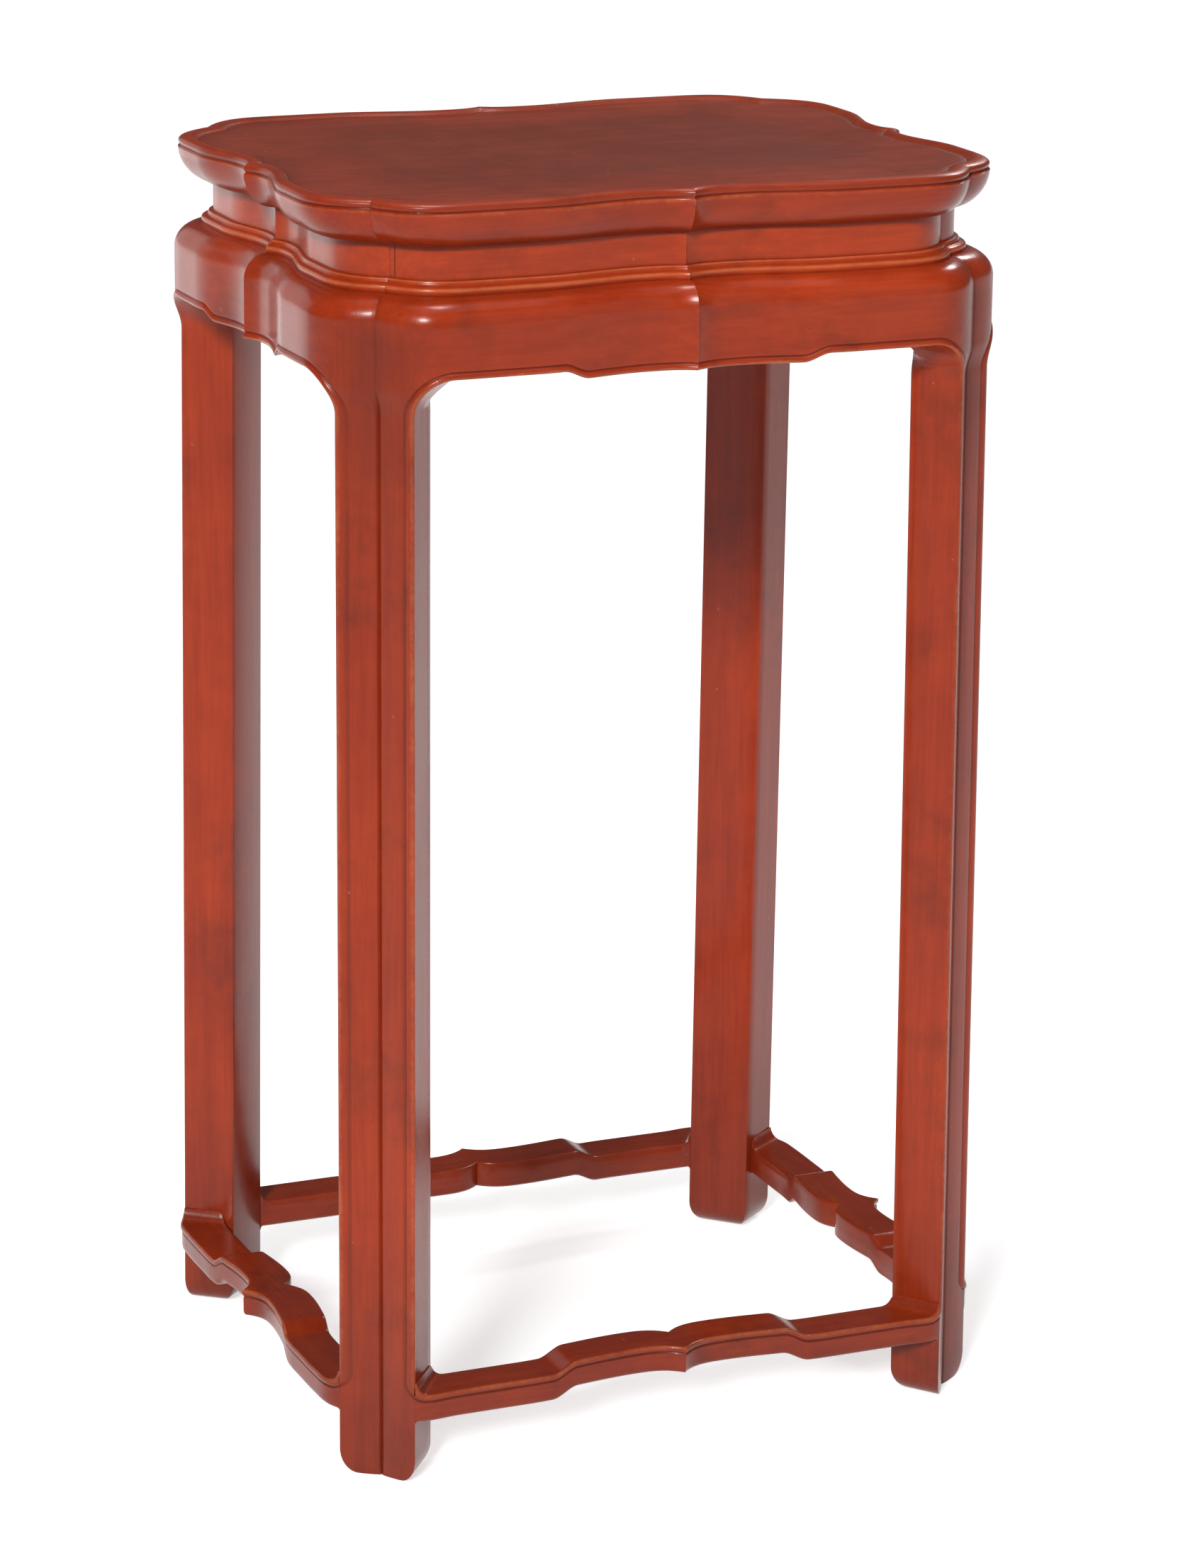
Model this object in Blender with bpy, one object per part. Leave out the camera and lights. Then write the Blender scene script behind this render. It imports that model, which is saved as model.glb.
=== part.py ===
"""Rectangular lacquered hardwood stand with a lobed outline, waist, aprons, four legs and base rails.

Metres, Z up, floor at Z = 0, long sides along X, front at -Y.  Every level of the stand follows one
bracket outline: each side runs from a centre cusp through a valley to a lobe, and neighbouring lobes
meet in a re-entrant notch at the corner.  A level is given by the half sizes to its notch.
"""
import math

import bmesh
import bpy
from mathutils import Vector
from mathutils.geometry import tessellate_polygon

# Clearance between neighbouring pieces
SEAM = 0.0003

# Heights
HEIGHT = 0.8015
LIP_RISE = 0.0025
LIP_FACE = 0.0055
TOP_DEPTH = 0.028
PANEL_THICK = 0.012
WAIST_HEIGHT = 0.020
COLLAR_HEIGHT = 0.008
APRON_HEIGHT = 0.047
APRON_DROP = 0.0055
SHOULDER_HEIGHT = 0.016
RAIL_UNDER = 0.042
RAIL_THICK = 0.018
RAIL_HUMP = 0.0065

# Size over the lobes of the aprons, and how the other levels differ from the apron's
WIDTH = 0.4544
DEPTH = 0.3770
TOP_LESS_X = 0.0003
TOP_LESS_Y = 0.0082
WAIST_IN = 0.0156
COLLAR_IN = 0.0112
RAIL_OUT_X = 0.0028
RAIL_OUT_Y = 0.0060
LEG_IN = 0.0014
SPLAY_X = 0.0020
SPLAY_Y = 0.0100

# Outline of one side, heights above the notch and places as shares of the half side
LOBE_RISE = 0.030
LOBE_LENGTH = 0.058
LOBE_POWER = 3.7
VALLEY_RISE = 0.0195
CUSP_RISE = 0.026
CUSP_POWER = 2.1
CREST_AT = 0.52
VALLEY_AT = 0.15
STEP_AT = 0.40
STEP_HALF = 0.045
WAIST_RELIEF = 0.80
COLLAR_RELIEF = 0.85
RELIEF_FADE = 0.25
RAIL_LOBE = 0.0255
RAIL_VALLEY = 0.0195
RAIL_CUSP = 0.029

# Widths and thicknesses of the pieces
LIP_WIDTH = 0.0100
OVOLO_OVERHANG = 0.0012
FRAME_IN = 0.0385
WAIST_THICK = 0.0092
APRON_THICK = 0.020
BEAD_WIDTH = 0.006
BEAD_RISE = 0.001
FILLET = 0.025
RAIL_WIDTH = 0.029

# Leg section: half length of its lobes, depth along the corner diagonal, half width of its back, and the
# extra depth of the valley between its lobes
LEG_SPAN = 0.0157
LEG_DEPTH = 0.0309
LEG_BACK_HALF = 0.0214
LEG_VALLEY = 0.0016
HEAD_HALF = 0.018
HEAD_FRONT = 0.0275
HEAD_DEPTH = 0.056
HEAD_CHAMFER = 0.004
POST_HALF = 0.016
POST_INSET = 0.001
FOOT_ROUND = 0.010
MITRE_TOP = 0.004

# Joinery
TENON_HEIGHT = 0.006
TENON_THICK = 0.008
TENON_WIDTH = 0.010
TENON_OFFSET = 0.0095
CORNER_TENON_THICK = 0.004
CORNER_TENON_WIDTH = 0.012
CORNER_TENON_LENGTH = 0.014
RAIL_TENON_WIDTH = 0.010
RAIL_TENON_THICK = 0.009
RAIL_TENON_LENGTH = 0.008
BATTEN_AT = 0.062
BATTEN_HALF = 0.012
BATTEN_DEPTH = 0.013
BATTEN_KEY = 0.003
BATTEN_TENON = 0.008

# Heights that follow from the sizes above
Z_PANEL = HEIGHT - LIP_RISE
Z_LINE = HEIGHT - LIP_FACE
Z_SOFFIT = HEIGHT - TOP_DEPTH
Z_LEDGE = Z_PANEL - PANEL_THICK
Z_COLLAR = Z_SOFFIT - WAIST_HEIGHT
Z_APRON = Z_COLLAR - COLLAR_HEIGHT
Z_OPEN = Z_APRON - APRON_HEIGHT
FILLET_MID = FILLET * (1.0 - math.sqrt(0.5))
Z_MITRE = Z_OPEN - FILLET_MID
MITRE_SPAN = LEG_SPAN + FILLET_MID
MITRE_TRIM = 1.5 * SEAM
Z_FILLET = Z_OPEN - FILLET

# Half sizes from the centre to the corner notch
APRON_X = 0.5 * WIDTH - LOBE_RISE
APRON_Y = 0.5 * DEPTH - LOBE_RISE
TOP_X = APRON_X - TOP_LESS_X
TOP_Y = APRON_Y - TOP_LESS_Y
WAIST_X = APRON_X - WAIST_IN
WAIST_Y = APRON_Y - WAIST_IN
RAIL_X = APRON_X + RAIL_OUT_X
RAIL_Y = APRON_Y + RAIL_OUT_Y
OPEN_X = APRON_X - FRAME_IN
OPEN_Y = APRON_Y - FRAME_IN
RECESS_BACK = WAIST_IN + WAIST_THICK

# Section of the lip, as shares of its width from outside and of its face height from the crest
LIP_PROFILE = ((0.80, 0.13), (0.55, 0.0), (0.21, 0.14), (0.025, 0.45), (0.038, 0.75), (0.175, 1.0))

# Section of the collar, as shares from the waist line to the collar line and of its height from the top
COLLAR_PROFILE = ((0.30, 0.0), (0.38, 0.27), (0.78, 0.37), (1.14, 0.66), (0.84, 1.0))

# Section of a base rail, as shares across its width from outside and of its thickness from below
RAIL_PROFILE = ((0.05, 0.0), (0.0, 0.17), (0.02, 0.64), (-0.03, 0.83), (0.04, 1.0), (0.95, 1.0), (1.0, 0.92),
                (1.0, 0.0))

APRON_SHAPE = (LOBE_RISE, VALLEY_RISE, CUSP_RISE)
RAIL_SHAPE = (RAIL_LOBE, RAIL_VALLEY, RAIL_CUSP)
SIDES = ("front", "right", "back", "left")
CORNERS = (("front_left", -1, -1), ("front_right", 1, -1), ("back_right", 1, 1), ("back_left", -1, 1))

# Stations from the notch to the centre cusp: angles round the lobe, shares from there to the valley, and
# shares of the valley's distance from the cusp
LOBE_ANGLES = (0, 14, 30, 48, 68, 90)
RUN_SHARES = (0.18, 0.35, 0.50, 0.64, 0.82, 1.0)
CUSP_SHARES = (0.47, 0.0)


def smooth(x):
    """Ease from 0 to 1."""
    x = min(1.0, max(0.0, x))
    return x * x * (3.0 - 2.0 * x)


def mix(a, b, f):
    return a + (b - a) * f


def run_height(share, shape):
    """Outline height between the lobe and the cusp, at a share of the half side."""
    lobe, valley, cusp = shape
    if share >= VALLEY_AT:
        return mix(valley, lobe, smooth((share - VALLEY_AT) / (CREST_AT - VALLEY_AT)))
    return mix(valley, cusp, (1.0 - share / VALLEY_AT) ** CUSP_POWER)


def outline_height(span, half, shape, flat_lobe=False):
    """Outline height above the notch line, at a distance along the side from the notch."""
    if span < LOBE_LENGTH and not flat_lobe:
        return shape[0] * (1.0 - (1.0 - span / LOBE_LENGTH) ** LOBE_POWER)
    return run_height(1.0 - span / half, shape)


def spread(span, relief):
    """Distance of an outline point from the corner diagonal, times the square root of two."""
    return span + relief * outline_height(span, 1.0, APRON_SHAPE)


def span_for(target, relief):
    """Distance from the notch at which the outline has a given spread."""
    low, high = 0.0, LOBE_LENGTH
    for _ in range(50):
        middle = 0.5 * (low + high)
        if spread(middle, relief) < target:
            low = middle
        else:
            high = middle
    return high


def mitre_span(share, relief):
    """Distance from the notch to the flat mitre of leg and apron, at a share of its height from the top."""
    return span_for(mix(spread(MITRE_TOP, 1.0), spread(MITRE_SPAN, 1.0), share), relief)


def stations(half):
    """Distances from the notch at which a half side is sectioned."""
    spans = [LOBE_LENGTH * (1.0 - math.cos(math.radians(a))) for a in LOBE_ANGLES]
    spans += [mix(LOBE_LENGTH, half * (1.0 - VALLEY_AT), share) for share in RUN_SHARES]
    return spans + [half * (1.0 - VALLEY_AT * share) for share in CUSP_SHARES]


def step_stations(half, start):
    """Distances from the notch, from a start to the centre cusp, that follow the step of an edge as well."""
    step_out = half * (1.0 - STEP_AT - STEP_HALF)
    step_in = half * (1.0 - STEP_AT + STEP_HALF)
    spans = [mix(start, step_out, share) for share in (0.30, 0.65, 1.0)]
    spans.append(half * (1.0 - STEP_AT))
    spans += [mix(step_in, half * (1.0 - VALLEY_AT), share) for share in (0.0, 0.32, 0.66, 1.0)]
    return spans + [half * (1.0 - VALLEY_AT * share) for share in CUSP_SHARES]


def place(side, along, out, z):
    """World point from a side's own directions: along it, out from the centre, and up."""
    if side == "front":
        return Vector((along, -out, z))
    if side == "right":
        return Vector((out, along, z))
    if side == "back":
        return Vector((-along, out, z))
    return Vector((-out, -along, z))


def halves(side, half_x, half_y):
    """Half length of a side and its distance from the centre, at the notch."""
    return (half_x, half_y) if side in ("front", "back") else (half_y, half_x)


def new_object(name, bm):
    bmesh.ops.recalc_face_normals(bm, faces=bm.faces)
    mesh = bpy.data.meshes.new(name)
    bm.to_mesh(mesh)
    bm.free()
    obj = bpy.data.objects.new(name, mesh)
    bpy.context.scene.collection.objects.link(obj)
    return obj


def loft(name, columns, section):
    """Closed body through equal closed sections, its ends capped by one common triangulation."""
    bm = bmesh.new()
    rings = [[bm.verts.new(p) for p in column] for column in columns]
    count = len(section)
    for a, b in zip(rings, rings[1:]):
        for i in range(count):
            j = (i + 1) % count
            bm.faces.new((a[i], a[j], b[j], b[i]))
    flat = [Vector((p[0], p[1], 0.0)) for p in section]
    for ring in (rings[0], rings[-1]):
        for tri in tessellate_polygon([flat]):
            bm.faces.new([ring[i] for i in tri])
    return new_object(name, bm)


def box(name, low, high):
    bm = bmesh.new()
    bmesh.ops.create_cube(bm, size=1.0)
    for v in bm.verts:
        v.co = Vector([mix(low[i], high[i], v.co[i] + 0.5) for i in range(3)])
    return new_object(name, bm)


def turned_box(name, centre, axis, half_along, half_across, z_low, z_high):
    """Upright box whose first side lies along a direction in plan."""
    across = Vector((-axis.y, axis.x, 0.0))
    bm = bmesh.new()
    bmesh.ops.create_cube(bm, size=2.0)
    for v in bm.verts:
        z = z_high if v.co.z > 0 else z_low
        p = centre + axis * (v.co.x * half_along) + across * (v.co.y * half_across)
        v.co = Vector((p.x, p.y, z))
    return new_object(name, bm)


def combine(obj, tool, operation):
    """Join or cut with another body, then drop that body."""
    modifier = obj.modifiers.new("joinery", "BOOLEAN")
    modifier.operation = operation
    modifier.object = tool
    graph = bpy.context.evaluated_depsgraph_get()
    mesh = bpy.data.meshes.new_from_object(obj.evaluated_get(graph))
    bm = bmesh.new()
    bm.from_mesh(mesh)
    bmesh.ops.dissolve_degenerate(bm, dist=0.00001, edges=bm.edges)
    bm.to_mesh(mesh)
    bm.free()
    obj.modifiers.clear()
    old = obj.data
    obj.data = mesh
    bpy.data.meshes.remove(old)
    mesh.name = obj.name
    tool_mesh = tool.data
    bpy.data.objects.remove(tool)
    bpy.data.meshes.remove(tool_mesh)


def swept_side(name, side, rows, seam=SEAM):
    """Body swept along one side and mitred at both notches.

    A row is (half x, half y, outline relief, z); the rows go once round the section.
    """
    columns = []
    count = len(stations(1.0))
    for sign in (-1, 1):
        order = range(count) if sign < 0 else range(count - 2, -1, -1)
        for k in order:
            column = []
            for half_x, half_y, relief, z in rows:
                half, base = halves(side, half_x, half_y)
                span = stations(half)[k]
                out = base + relief * outline_height(span, half, APRON_SHAPE)
                trim = seam * math.sqrt(0.5) if k == 0 else 0.0
                column.append(place(side, sign * (half - span - trim), out, z))
            columns.append(column)
    section = [(0.5 * (half_x + half_y) + relief * LOBE_RISE, z) for half_x, half_y, relief, z in rows]
    return loft(name, columns, section)


def lip_row(inset, z):
    """Section row of the top at an inset from the outside of its lip."""
    return (TOP_X - inset, TOP_Y - inset, 1.0 - inset / RELIEF_FADE, z)


def top_rows():
    """Section of a top frame member: raised lip, fine line, ovolo, soffit, and the panel's rebate."""
    rows = []
    for share, drop in LIP_PROFILE:
        rows.append(lip_row(share * LIP_WIDTH, HEIGHT - drop * LIP_FACE))
    foot_x = WAIST_X + OVOLO_OVERHANG
    foot_y = WAIST_Y + OVOLO_OVERHANG
    for angle in (8, 30, 52, 72, 90):
        share = 1.0 - math.cos(math.radians(angle))
        z = Z_LINE - (Z_LINE - Z_SOFFIT) * math.sin(math.radians(angle))
        relief = mix(1.0, WAIST_RELIEF, share)
        rows.append((mix(TOP_X, foot_x, share), mix(TOP_Y, foot_y, share), relief, z))
    rows.append((OPEN_X, OPEN_Y, 0.0, Z_SOFFIT))
    rows.append((OPEN_X, OPEN_Y, 0.0, Z_LEDGE))
    rows.append(lip_row(LIP_WIDTH, Z_LEDGE))
    rows.append(lip_row(LIP_WIDTH, Z_PANEL))
    return rows


def waist_rows():
    low = Z_COLLAR + SEAM
    high = Z_SOFFIT - SEAM
    back_x = WAIST_X - WAIST_THICK
    back_y = WAIST_Y - WAIST_THICK
    front = (WAIST_X, WAIST_Y, WAIST_RELIEF)
    back = (back_x, back_y, WAIST_RELIEF)
    return [(*front, high), (*front, low), (*back, low), (*back, high)]


def collar_rows():
    """Small stepped moulding between waist and apron, with a bead at its foot."""
    rows = []
    for share, drop in COLLAR_PROFILE:
        inset = mix(WAIST_IN, COLLAR_IN, share)
        z = mix(Z_COLLAR, Z_APRON + SEAM, drop)
        rows.append((APRON_X - inset, APRON_Y - inset, mix(WAIST_RELIEF, COLLAR_RELIEF, share), z))
    back = (APRON_X - RECESS_BACK, APRON_Y - RECESS_BACK, WAIST_RELIEF)
    return rows + [(*back, Z_APRON + SEAM), (*back, Z_COLLAR)]


def shoulder(angle):
    """Inset, relief and height on the apron's rounded shoulder, from the collar outwards."""
    share = math.sin(math.radians(angle))
    z = Z_APRON - SHOULDER_HEIGHT * (1.0 - math.cos(math.radians(angle)))
    return COLLAR_IN * (1.0 - share), mix(COLLAR_RELIEF, 1.0, share), z


def shoulder_at(z):
    """Inset and relief of the apron's outer face at a height."""
    drop = min(1.0, max(0.0, (Z_APRON - z) / SHOULDER_HEIGHT))
    inset, relief, _ = shoulder(math.degrees(math.acos(1.0 - drop)))
    return inset, relief


def opening_height(span, half):
    """Lower edge of the apron at a distance from the notch: lower centre, then a round to the leg."""
    share = 1.0 - span / half
    step = smooth((share - STEP_AT + STEP_HALF) / (2.0 * STEP_HALF))
    z = Z_OPEN - APRON_DROP * (1.0 - step)
    from_leg = max(span, MITRE_SPAN) - LEG_SPAN
    if from_leg < FILLET:
        z -= FILLET - math.sqrt(FILLET ** 2 - (FILLET - from_leg) ** 2)
    return z


def apron_rows():
    """Section of an apron, each row an inset, a relief and a share of the height from the top."""
    rows = []
    for angle in (0, 28, 52, 72, 90):
        inset, relief, z = shoulder(angle)
        rows.append((inset, relief, (Z_APRON - z) / (Z_APRON - Z_MITRE)))
    bead = 1.0 - BEAD_WIDTH / APRON_HEIGHT
    rows.append((0.0, 1.0, 0.60))
    rows.append((BEAD_RISE, 1.0, bead))
    rows.append((-BEAD_RISE, 1.0, 0.5 * (1.0 + bead)))
    rows.append((BEAD_RISE, 1.0, 1.0))
    rows.append((APRON_THICK, 1.0, 1.0))
    rows.append((APRON_THICK, 1.0, 0.0))
    return rows


# Stations of an apron near the leg, as shares from the mitre to the end of this fan on the lobe
APRON_FAN = (0.0, 0.10, 0.24, 0.42, 0.68, 1.0)


def apron(side):
    """Apron between two legs: bulging face, beaded lower edge, mitred against the leg shoulders."""
    half, base = halves(side, APRON_X, APRON_Y)
    rows = apron_rows()
    fan_end = LOBE_LENGTH * 0.80
    columns = []
    for sign in (-1, 1):
        half_columns = []
        for k in range(len(APRON_FAN) + len(step_stations(half, fan_end))):
            column = []
            for inset, relief, share in rows:
                mitre = mitre_span(share, relief)
                length = half - inset
                if k < len(APRON_FAN):
                    span = mix(mitre, fan_end, APRON_FAN[k])
                else:
                    span = step_stations(length, fan_end)[k - len(APRON_FAN)]
                low = opening_height(span if k else MITRE_SPAN, length)
                trim = MITRE_TRIM if k == 0 else 0.0
                out = base - inset + relief * outline_height(span, length, APRON_SHAPE)
                column.append(place(side, sign * (length - span - trim), out, mix(Z_APRON, low, share)))
            half_columns.append(column)
        columns += half_columns if sign < 0 else half_columns[-2::-1]
    section = [(-inset + relief * LOBE_RISE, -share) for inset, relief, share in rows]
    return loft("apron_" + side, columns, section)


def below_round(z):
    """Share of the plain leg in the section at a height: 1 below the apron's round, 0 above it."""
    return 1.0 - smooth((z - Z_FILLET) / (Z_MITRE - Z_FILLET))


def leg_notch(z):
    """Plan place of the leg's notch at a height, easing into the apron's at the top."""
    lean = max(0.0, 1.0 - z / Z_FILLET)
    return Vector((APRON_X - LEG_IN * below_round(z) + SPLAY_X * lean, APRON_Y + SPLAY_Y * lean))


def mitre_share(z):
    """Share of the mitre's height from its top, at a height."""
    return min(1.0, (Z_APRON - z) / (Z_APRON - Z_MITRE))


def leg_reach(z, relief):
    """Distance from the notch to the edge of the leg's outer face at a height."""
    if z <= Z_FILLET:
        return LEG_SPAN
    if z <= Z_MITRE:
        return LEG_SPAN + FILLET - math.sqrt(FILLET ** 2 - (z - Z_FILLET) ** 2)
    return mitre_span(mitre_share(z), relief)


def face_point(notch, span, relief, inset):
    """Point of the lobed face on the long side's part of a corner, in the corner's own quarter."""
    rise = relief * outline_height(span, 1.0, APRON_SHAPE)
    return Vector((notch.x - inset - span, notch.y - inset + rise))


def diagonal(notch, depth, across):
    """Point a depth behind the notch along the corner diagonal and a distance across it."""
    step = math.sqrt(0.5)
    return Vector((notch.x - (depth + across) * step, notch.y - (depth - across) * step))


def mirrored(points, notch):
    """The same points on the short side's part of the corner."""
    return [Vector((notch.x + (p.y - notch.y), notch.y + (p.x - notch.x))) for p in points]


def mitre_back(z, notch):
    """Inner edge of the leg's mitre at a height, behind the apron's back."""
    inset = APRON_THICK + SEAM
    if z <= Z_MITRE:
        return face_point(notch, leg_reach(z, 1.0), 1.0, inset)
    top = face_point(notch, MITRE_TOP, 1.0, inset)
    foot = face_point(notch, MITRE_SPAN, 1.0, inset)
    return top.lerp(foot, mitre_share(z))


def leg_ring(z, head):
    """Closed leg section at a height: two beaded lobes outside, cheeks, and the back."""
    notch = leg_notch(z)
    inset, relief = shoulder_at(z)
    reach = leg_reach(z, relief)
    valley = LEG_VALLEY * below_round(z)
    bead = 1.0 - smooth((z - Z_MITRE) / BEAD_WIDTH)
    inner = max(reach - BEAD_WIDTH * 0.85, reach * 0.6)
    spans = [inner * f for f in (0.10, 0.24, 0.48, 0.74, 1.0)] + [mix(inner, reach, 0.5), reach]
    lifts = (0.0, 0.0, 0.0, 0.0, -0.4 * BEAD_RISE * bead, BEAD_RISE * bead, 0.0)
    long_side = []
    for span, lift in zip(spans, lifts):
        p = face_point(notch, span, relief, inset)
        q = face_point(notch, span + SEAM, relief, inset)
        normal = Vector((q.y - p.y, p.x - q.x)).normalized()
        deeper = valley * (1.0 - span / reach)
        long_side.append(p + normal * lift - Vector((deeper, deeper)))
    edge = long_side[-1]
    if z < Z_FILLET:
        back = diagonal(notch, LEG_DEPTH, LEG_BACK_HALF)
        inside = [edge.lerp(back, 0.35), edge.lerp(back, 0.7), back]
    else:
        middle = mitre_back(z, notch)
        plain = diagonal(notch, LEG_DEPTH, LEG_BACK_HALF)
        if head:
            inside = [middle, diagonal(notch, HEAD_FRONT, HEAD_HALF), diagonal(notch, HEAD_DEPTH, HEAD_HALF)]
        else:
            inside = [middle, middle.lerp(plain, 0.5), plain]
    half_ring = long_side + inside
    short_side = mirrored(half_ring, notch)
    centre = face_point(notch, 0.0, relief, inset) - Vector((valley, valley))
    ring = [centre] + half_ring + short_side[::-1]
    return [Vector((p.x, p.y, z)) for p in ring]


def post_reach():
    """Depths behind the notch of the post's front and back."""
    return RECESS_BACK * math.sqrt(2.0) + POST_INSET, HEAD_DEPTH - POST_INSET


def post(corner):
    """Square post on a leg's head, behind the waist."""
    _, side_x, side_y = corner
    front, back = post_reach()
    p = diagonal(leg_notch(Z_APRON), 0.5 * (front + back), 0.0)
    centre = Vector((p.x * side_x, p.y * side_y, 0.0))
    axis = Vector((side_x, side_y, 0.0)).normalized()
    foot = Z_APRON - POST_HALF
    return turned_box("post", centre, axis, 0.5 * (back - front), POST_HALF, foot, Z_SOFFIT - SEAM)


def foot_ring(angle):
    """Leg section drawn in round the bottom of the foot."""
    z = FOOT_ROUND * (1.0 - math.cos(math.radians(angle)))
    ring = leg_ring(z, False)
    centre = sum(ring, Vector()) / len(ring)
    tuck = FOOT_ROUND * (1.0 - math.sin(math.radians(angle)))
    reach = max((p - centre).length for p in ring)
    return [p.lerp(centre, tuck / reach) for p in ring]


def leg(corner):
    name, side_x, side_y = corner
    rings = [foot_ring(a) for a in (0, 32, 62, 90)]
    for z in (RAIL_UNDER, Z_FILLET * 0.5, Z_FILLET):
        rings.append(leg_ring(z, False))
    for share in (0.45, 0.75, 1.0):
        rings.append(leg_ring(mix(Z_FILLET, Z_MITRE, share), False))
    rings.append(leg_ring(Z_MITRE + 0.5 * BEAD_WIDTH, False))
    head_base = Z_MITRE + BEAD_WIDTH
    rings.append(leg_ring(head_base, False))
    rings.append(leg_ring(head_base + HEAD_CHAMFER, True))
    for angle in (90, 66, 42, 20, 0):
        rings.append(leg_ring(shoulder(angle)[2], True))
    bm = bmesh.new()
    loops = [[bm.verts.new((p.x * side_x, p.y * side_y, p.z)) for p in ring] for ring in rings]
    count = len(loops[0])
    for a, b in zip(loops, loops[1:]):
        for i in range(count):
            j = (i + 1) % count
            bm.faces.new((a[i], a[j], b[j], b[i]))
    bm.faces.new(loops[0][::-1])
    bm.faces.new(loops[-1])
    body = new_object("leg_" + name, bm)
    combine(body, post(corner), "UNION")
    return body


def post_tenon(corner, long_side, grow):
    """Tenon on top of a leg's post, for the long or the short top member, grown for its mortise."""
    _, side_x, side_y = corner
    notch = leg_notch(Z_APRON)
    depth = 0.5 * sum(post_reach())
    across = TENON_OFFSET if long_side else -TENON_OFFSET
    p = diagonal(notch, depth, across)
    centre = Vector((p.x * side_x, p.y * side_y, 0.0))
    axis = Vector((side_x, side_y, 0.0)).normalized()
    low = Z_SOFFIT - TENON_HEIGHT * 0.5
    high = Z_SOFFIT + TENON_HEIGHT + grow
    return turned_box("tenon", centre, axis, 0.5 * TENON_WIDTH + grow, 0.5 * TENON_THICK + grow, low, high)


def corner_tenon(corner, grow):
    """Hidden tenon from a short top member into the long one, across the mitre."""
    _, side_x, side_y = corner
    x = 0.5 * (WAIST_X + OPEN_X)
    y = 0.5 * (WAIST_Y + OPEN_Y)
    reach = 0.5 * CORNER_TENON_LENGTH
    width = 0.5 * CORNER_TENON_WIDTH
    z_mid = 0.5 * (Z_SOFFIT + TENON_HEIGHT + Z_LEDGE)
    root = y - reach - (2.0 if grow else 1.0) * CORNER_TENON_THICK
    low = (x - width - grow, root, z_mid - 0.5 * CORNER_TENON_THICK - grow)
    high = (x + width + grow, y + reach + grow, z_mid + 0.5 * CORNER_TENON_THICK + grow)
    tool = box("tenon", low, high)
    for v in tool.data.vertices:
        v.co.x *= side_x
        v.co.y *= side_y
    if side_x * side_y < 0:
        tool.data.flip_normals()
    return tool


def rail_levels(span, half):
    """Underside and top of a base rail at a distance from the notch, raised towards its centre."""
    share = 1.0 - span / half
    hump = RAIL_HUMP * (1.0 - smooth((share - STEP_AT + STEP_HALF) / (2.0 * STEP_HALF)))
    return RAIL_UNDER + hump, RAIL_UNDER + RAIL_THICK + hump


def rail_point(side, across, half, base, along):
    """Distance out from the centre of a rail line, across its width from 0 outside to 1 inside."""
    span = half - abs(along)
    outer = base + outline_height(max(0.0, span), half, RAIL_SHAPE)
    inner = base + outline_height(max(0.0, span), half, RAIL_SHAPE, True) - RAIL_WIDTH
    return mix(outer, inner, across)


def cheek_gap(side, along, out):
    """Signed distance of a plan point from the leg cheek at rail height, positive clear of the leg."""
    notch = leg_notch(RAIL_UNDER + 0.5 * RAIL_THICK)
    long_side = side in ("front", "back")
    half, base = (notch.x, notch.y) if long_side else (notch.y, notch.x)
    corner = Vector((0.0, 0.0))
    edge = face_point(corner, LEG_SPAN, 1.0, 0.0)
    back = diagonal(corner, LEG_DEPTH, LEG_BACK_HALF)
    p = Vector((abs(along) - half, out - base))
    direction = (back - edge).normalized()
    return (p - edge).cross(direction)


def rail_end(side, across, half, base):
    """Place along the side where a rail line meets the leg's cheek, less the clearance."""
    low, high = half * 0.5, half
    for _ in range(50):
        middle = 0.5 * (low + high)
        if cheek_gap(side, middle, rail_point(side, across, half, base, middle)) > SEAM:
            low = middle
        else:
            high = middle
    return low


def tenon_loop(side, half, base, tip, grow=0.0):
    """Rectangle of a rail's tenon, at the cheek or at its tip, in the order of the rail's section."""
    low, high = rail_levels(LEG_SPAN, half)
    z = 0.5 * (low + high)
    end = rail_end(side, 0.5, half, base)
    out = rail_point(side, 0.5, half, base, end)
    w = 0.5 * RAIL_TENON_WIDTH + grow
    t = 0.5 * RAIL_TENON_THICK + grow
    shape = ((w, -t), (w, -0.4 * t), (w, 0.1 * t), (w, 0.5 * t), (w, t), (-w, t), (-w, 0.6 * t), (-w, -t))
    points = []
    for dv, dz in shape:
        along = end + RAIL_TENON_LENGTH + grow
        if not tip:
            a, b = end - RAIL_WIDTH, end + RAIL_WIDTH
            for _ in range(50):
                middle = 0.5 * (a + b)
                if cheek_gap(side, middle, out + dv) > SEAM:
                    a = middle
                else:
                    b = middle
            along = a
        points.append((along, out + dv, z + dz))
    return points


# Stations of a base rail near the leg, as shares from its end to the end of the leg's round on the apron
RAIL_FAN = (0.0, 0.35, 0.68, 1.0)


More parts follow.
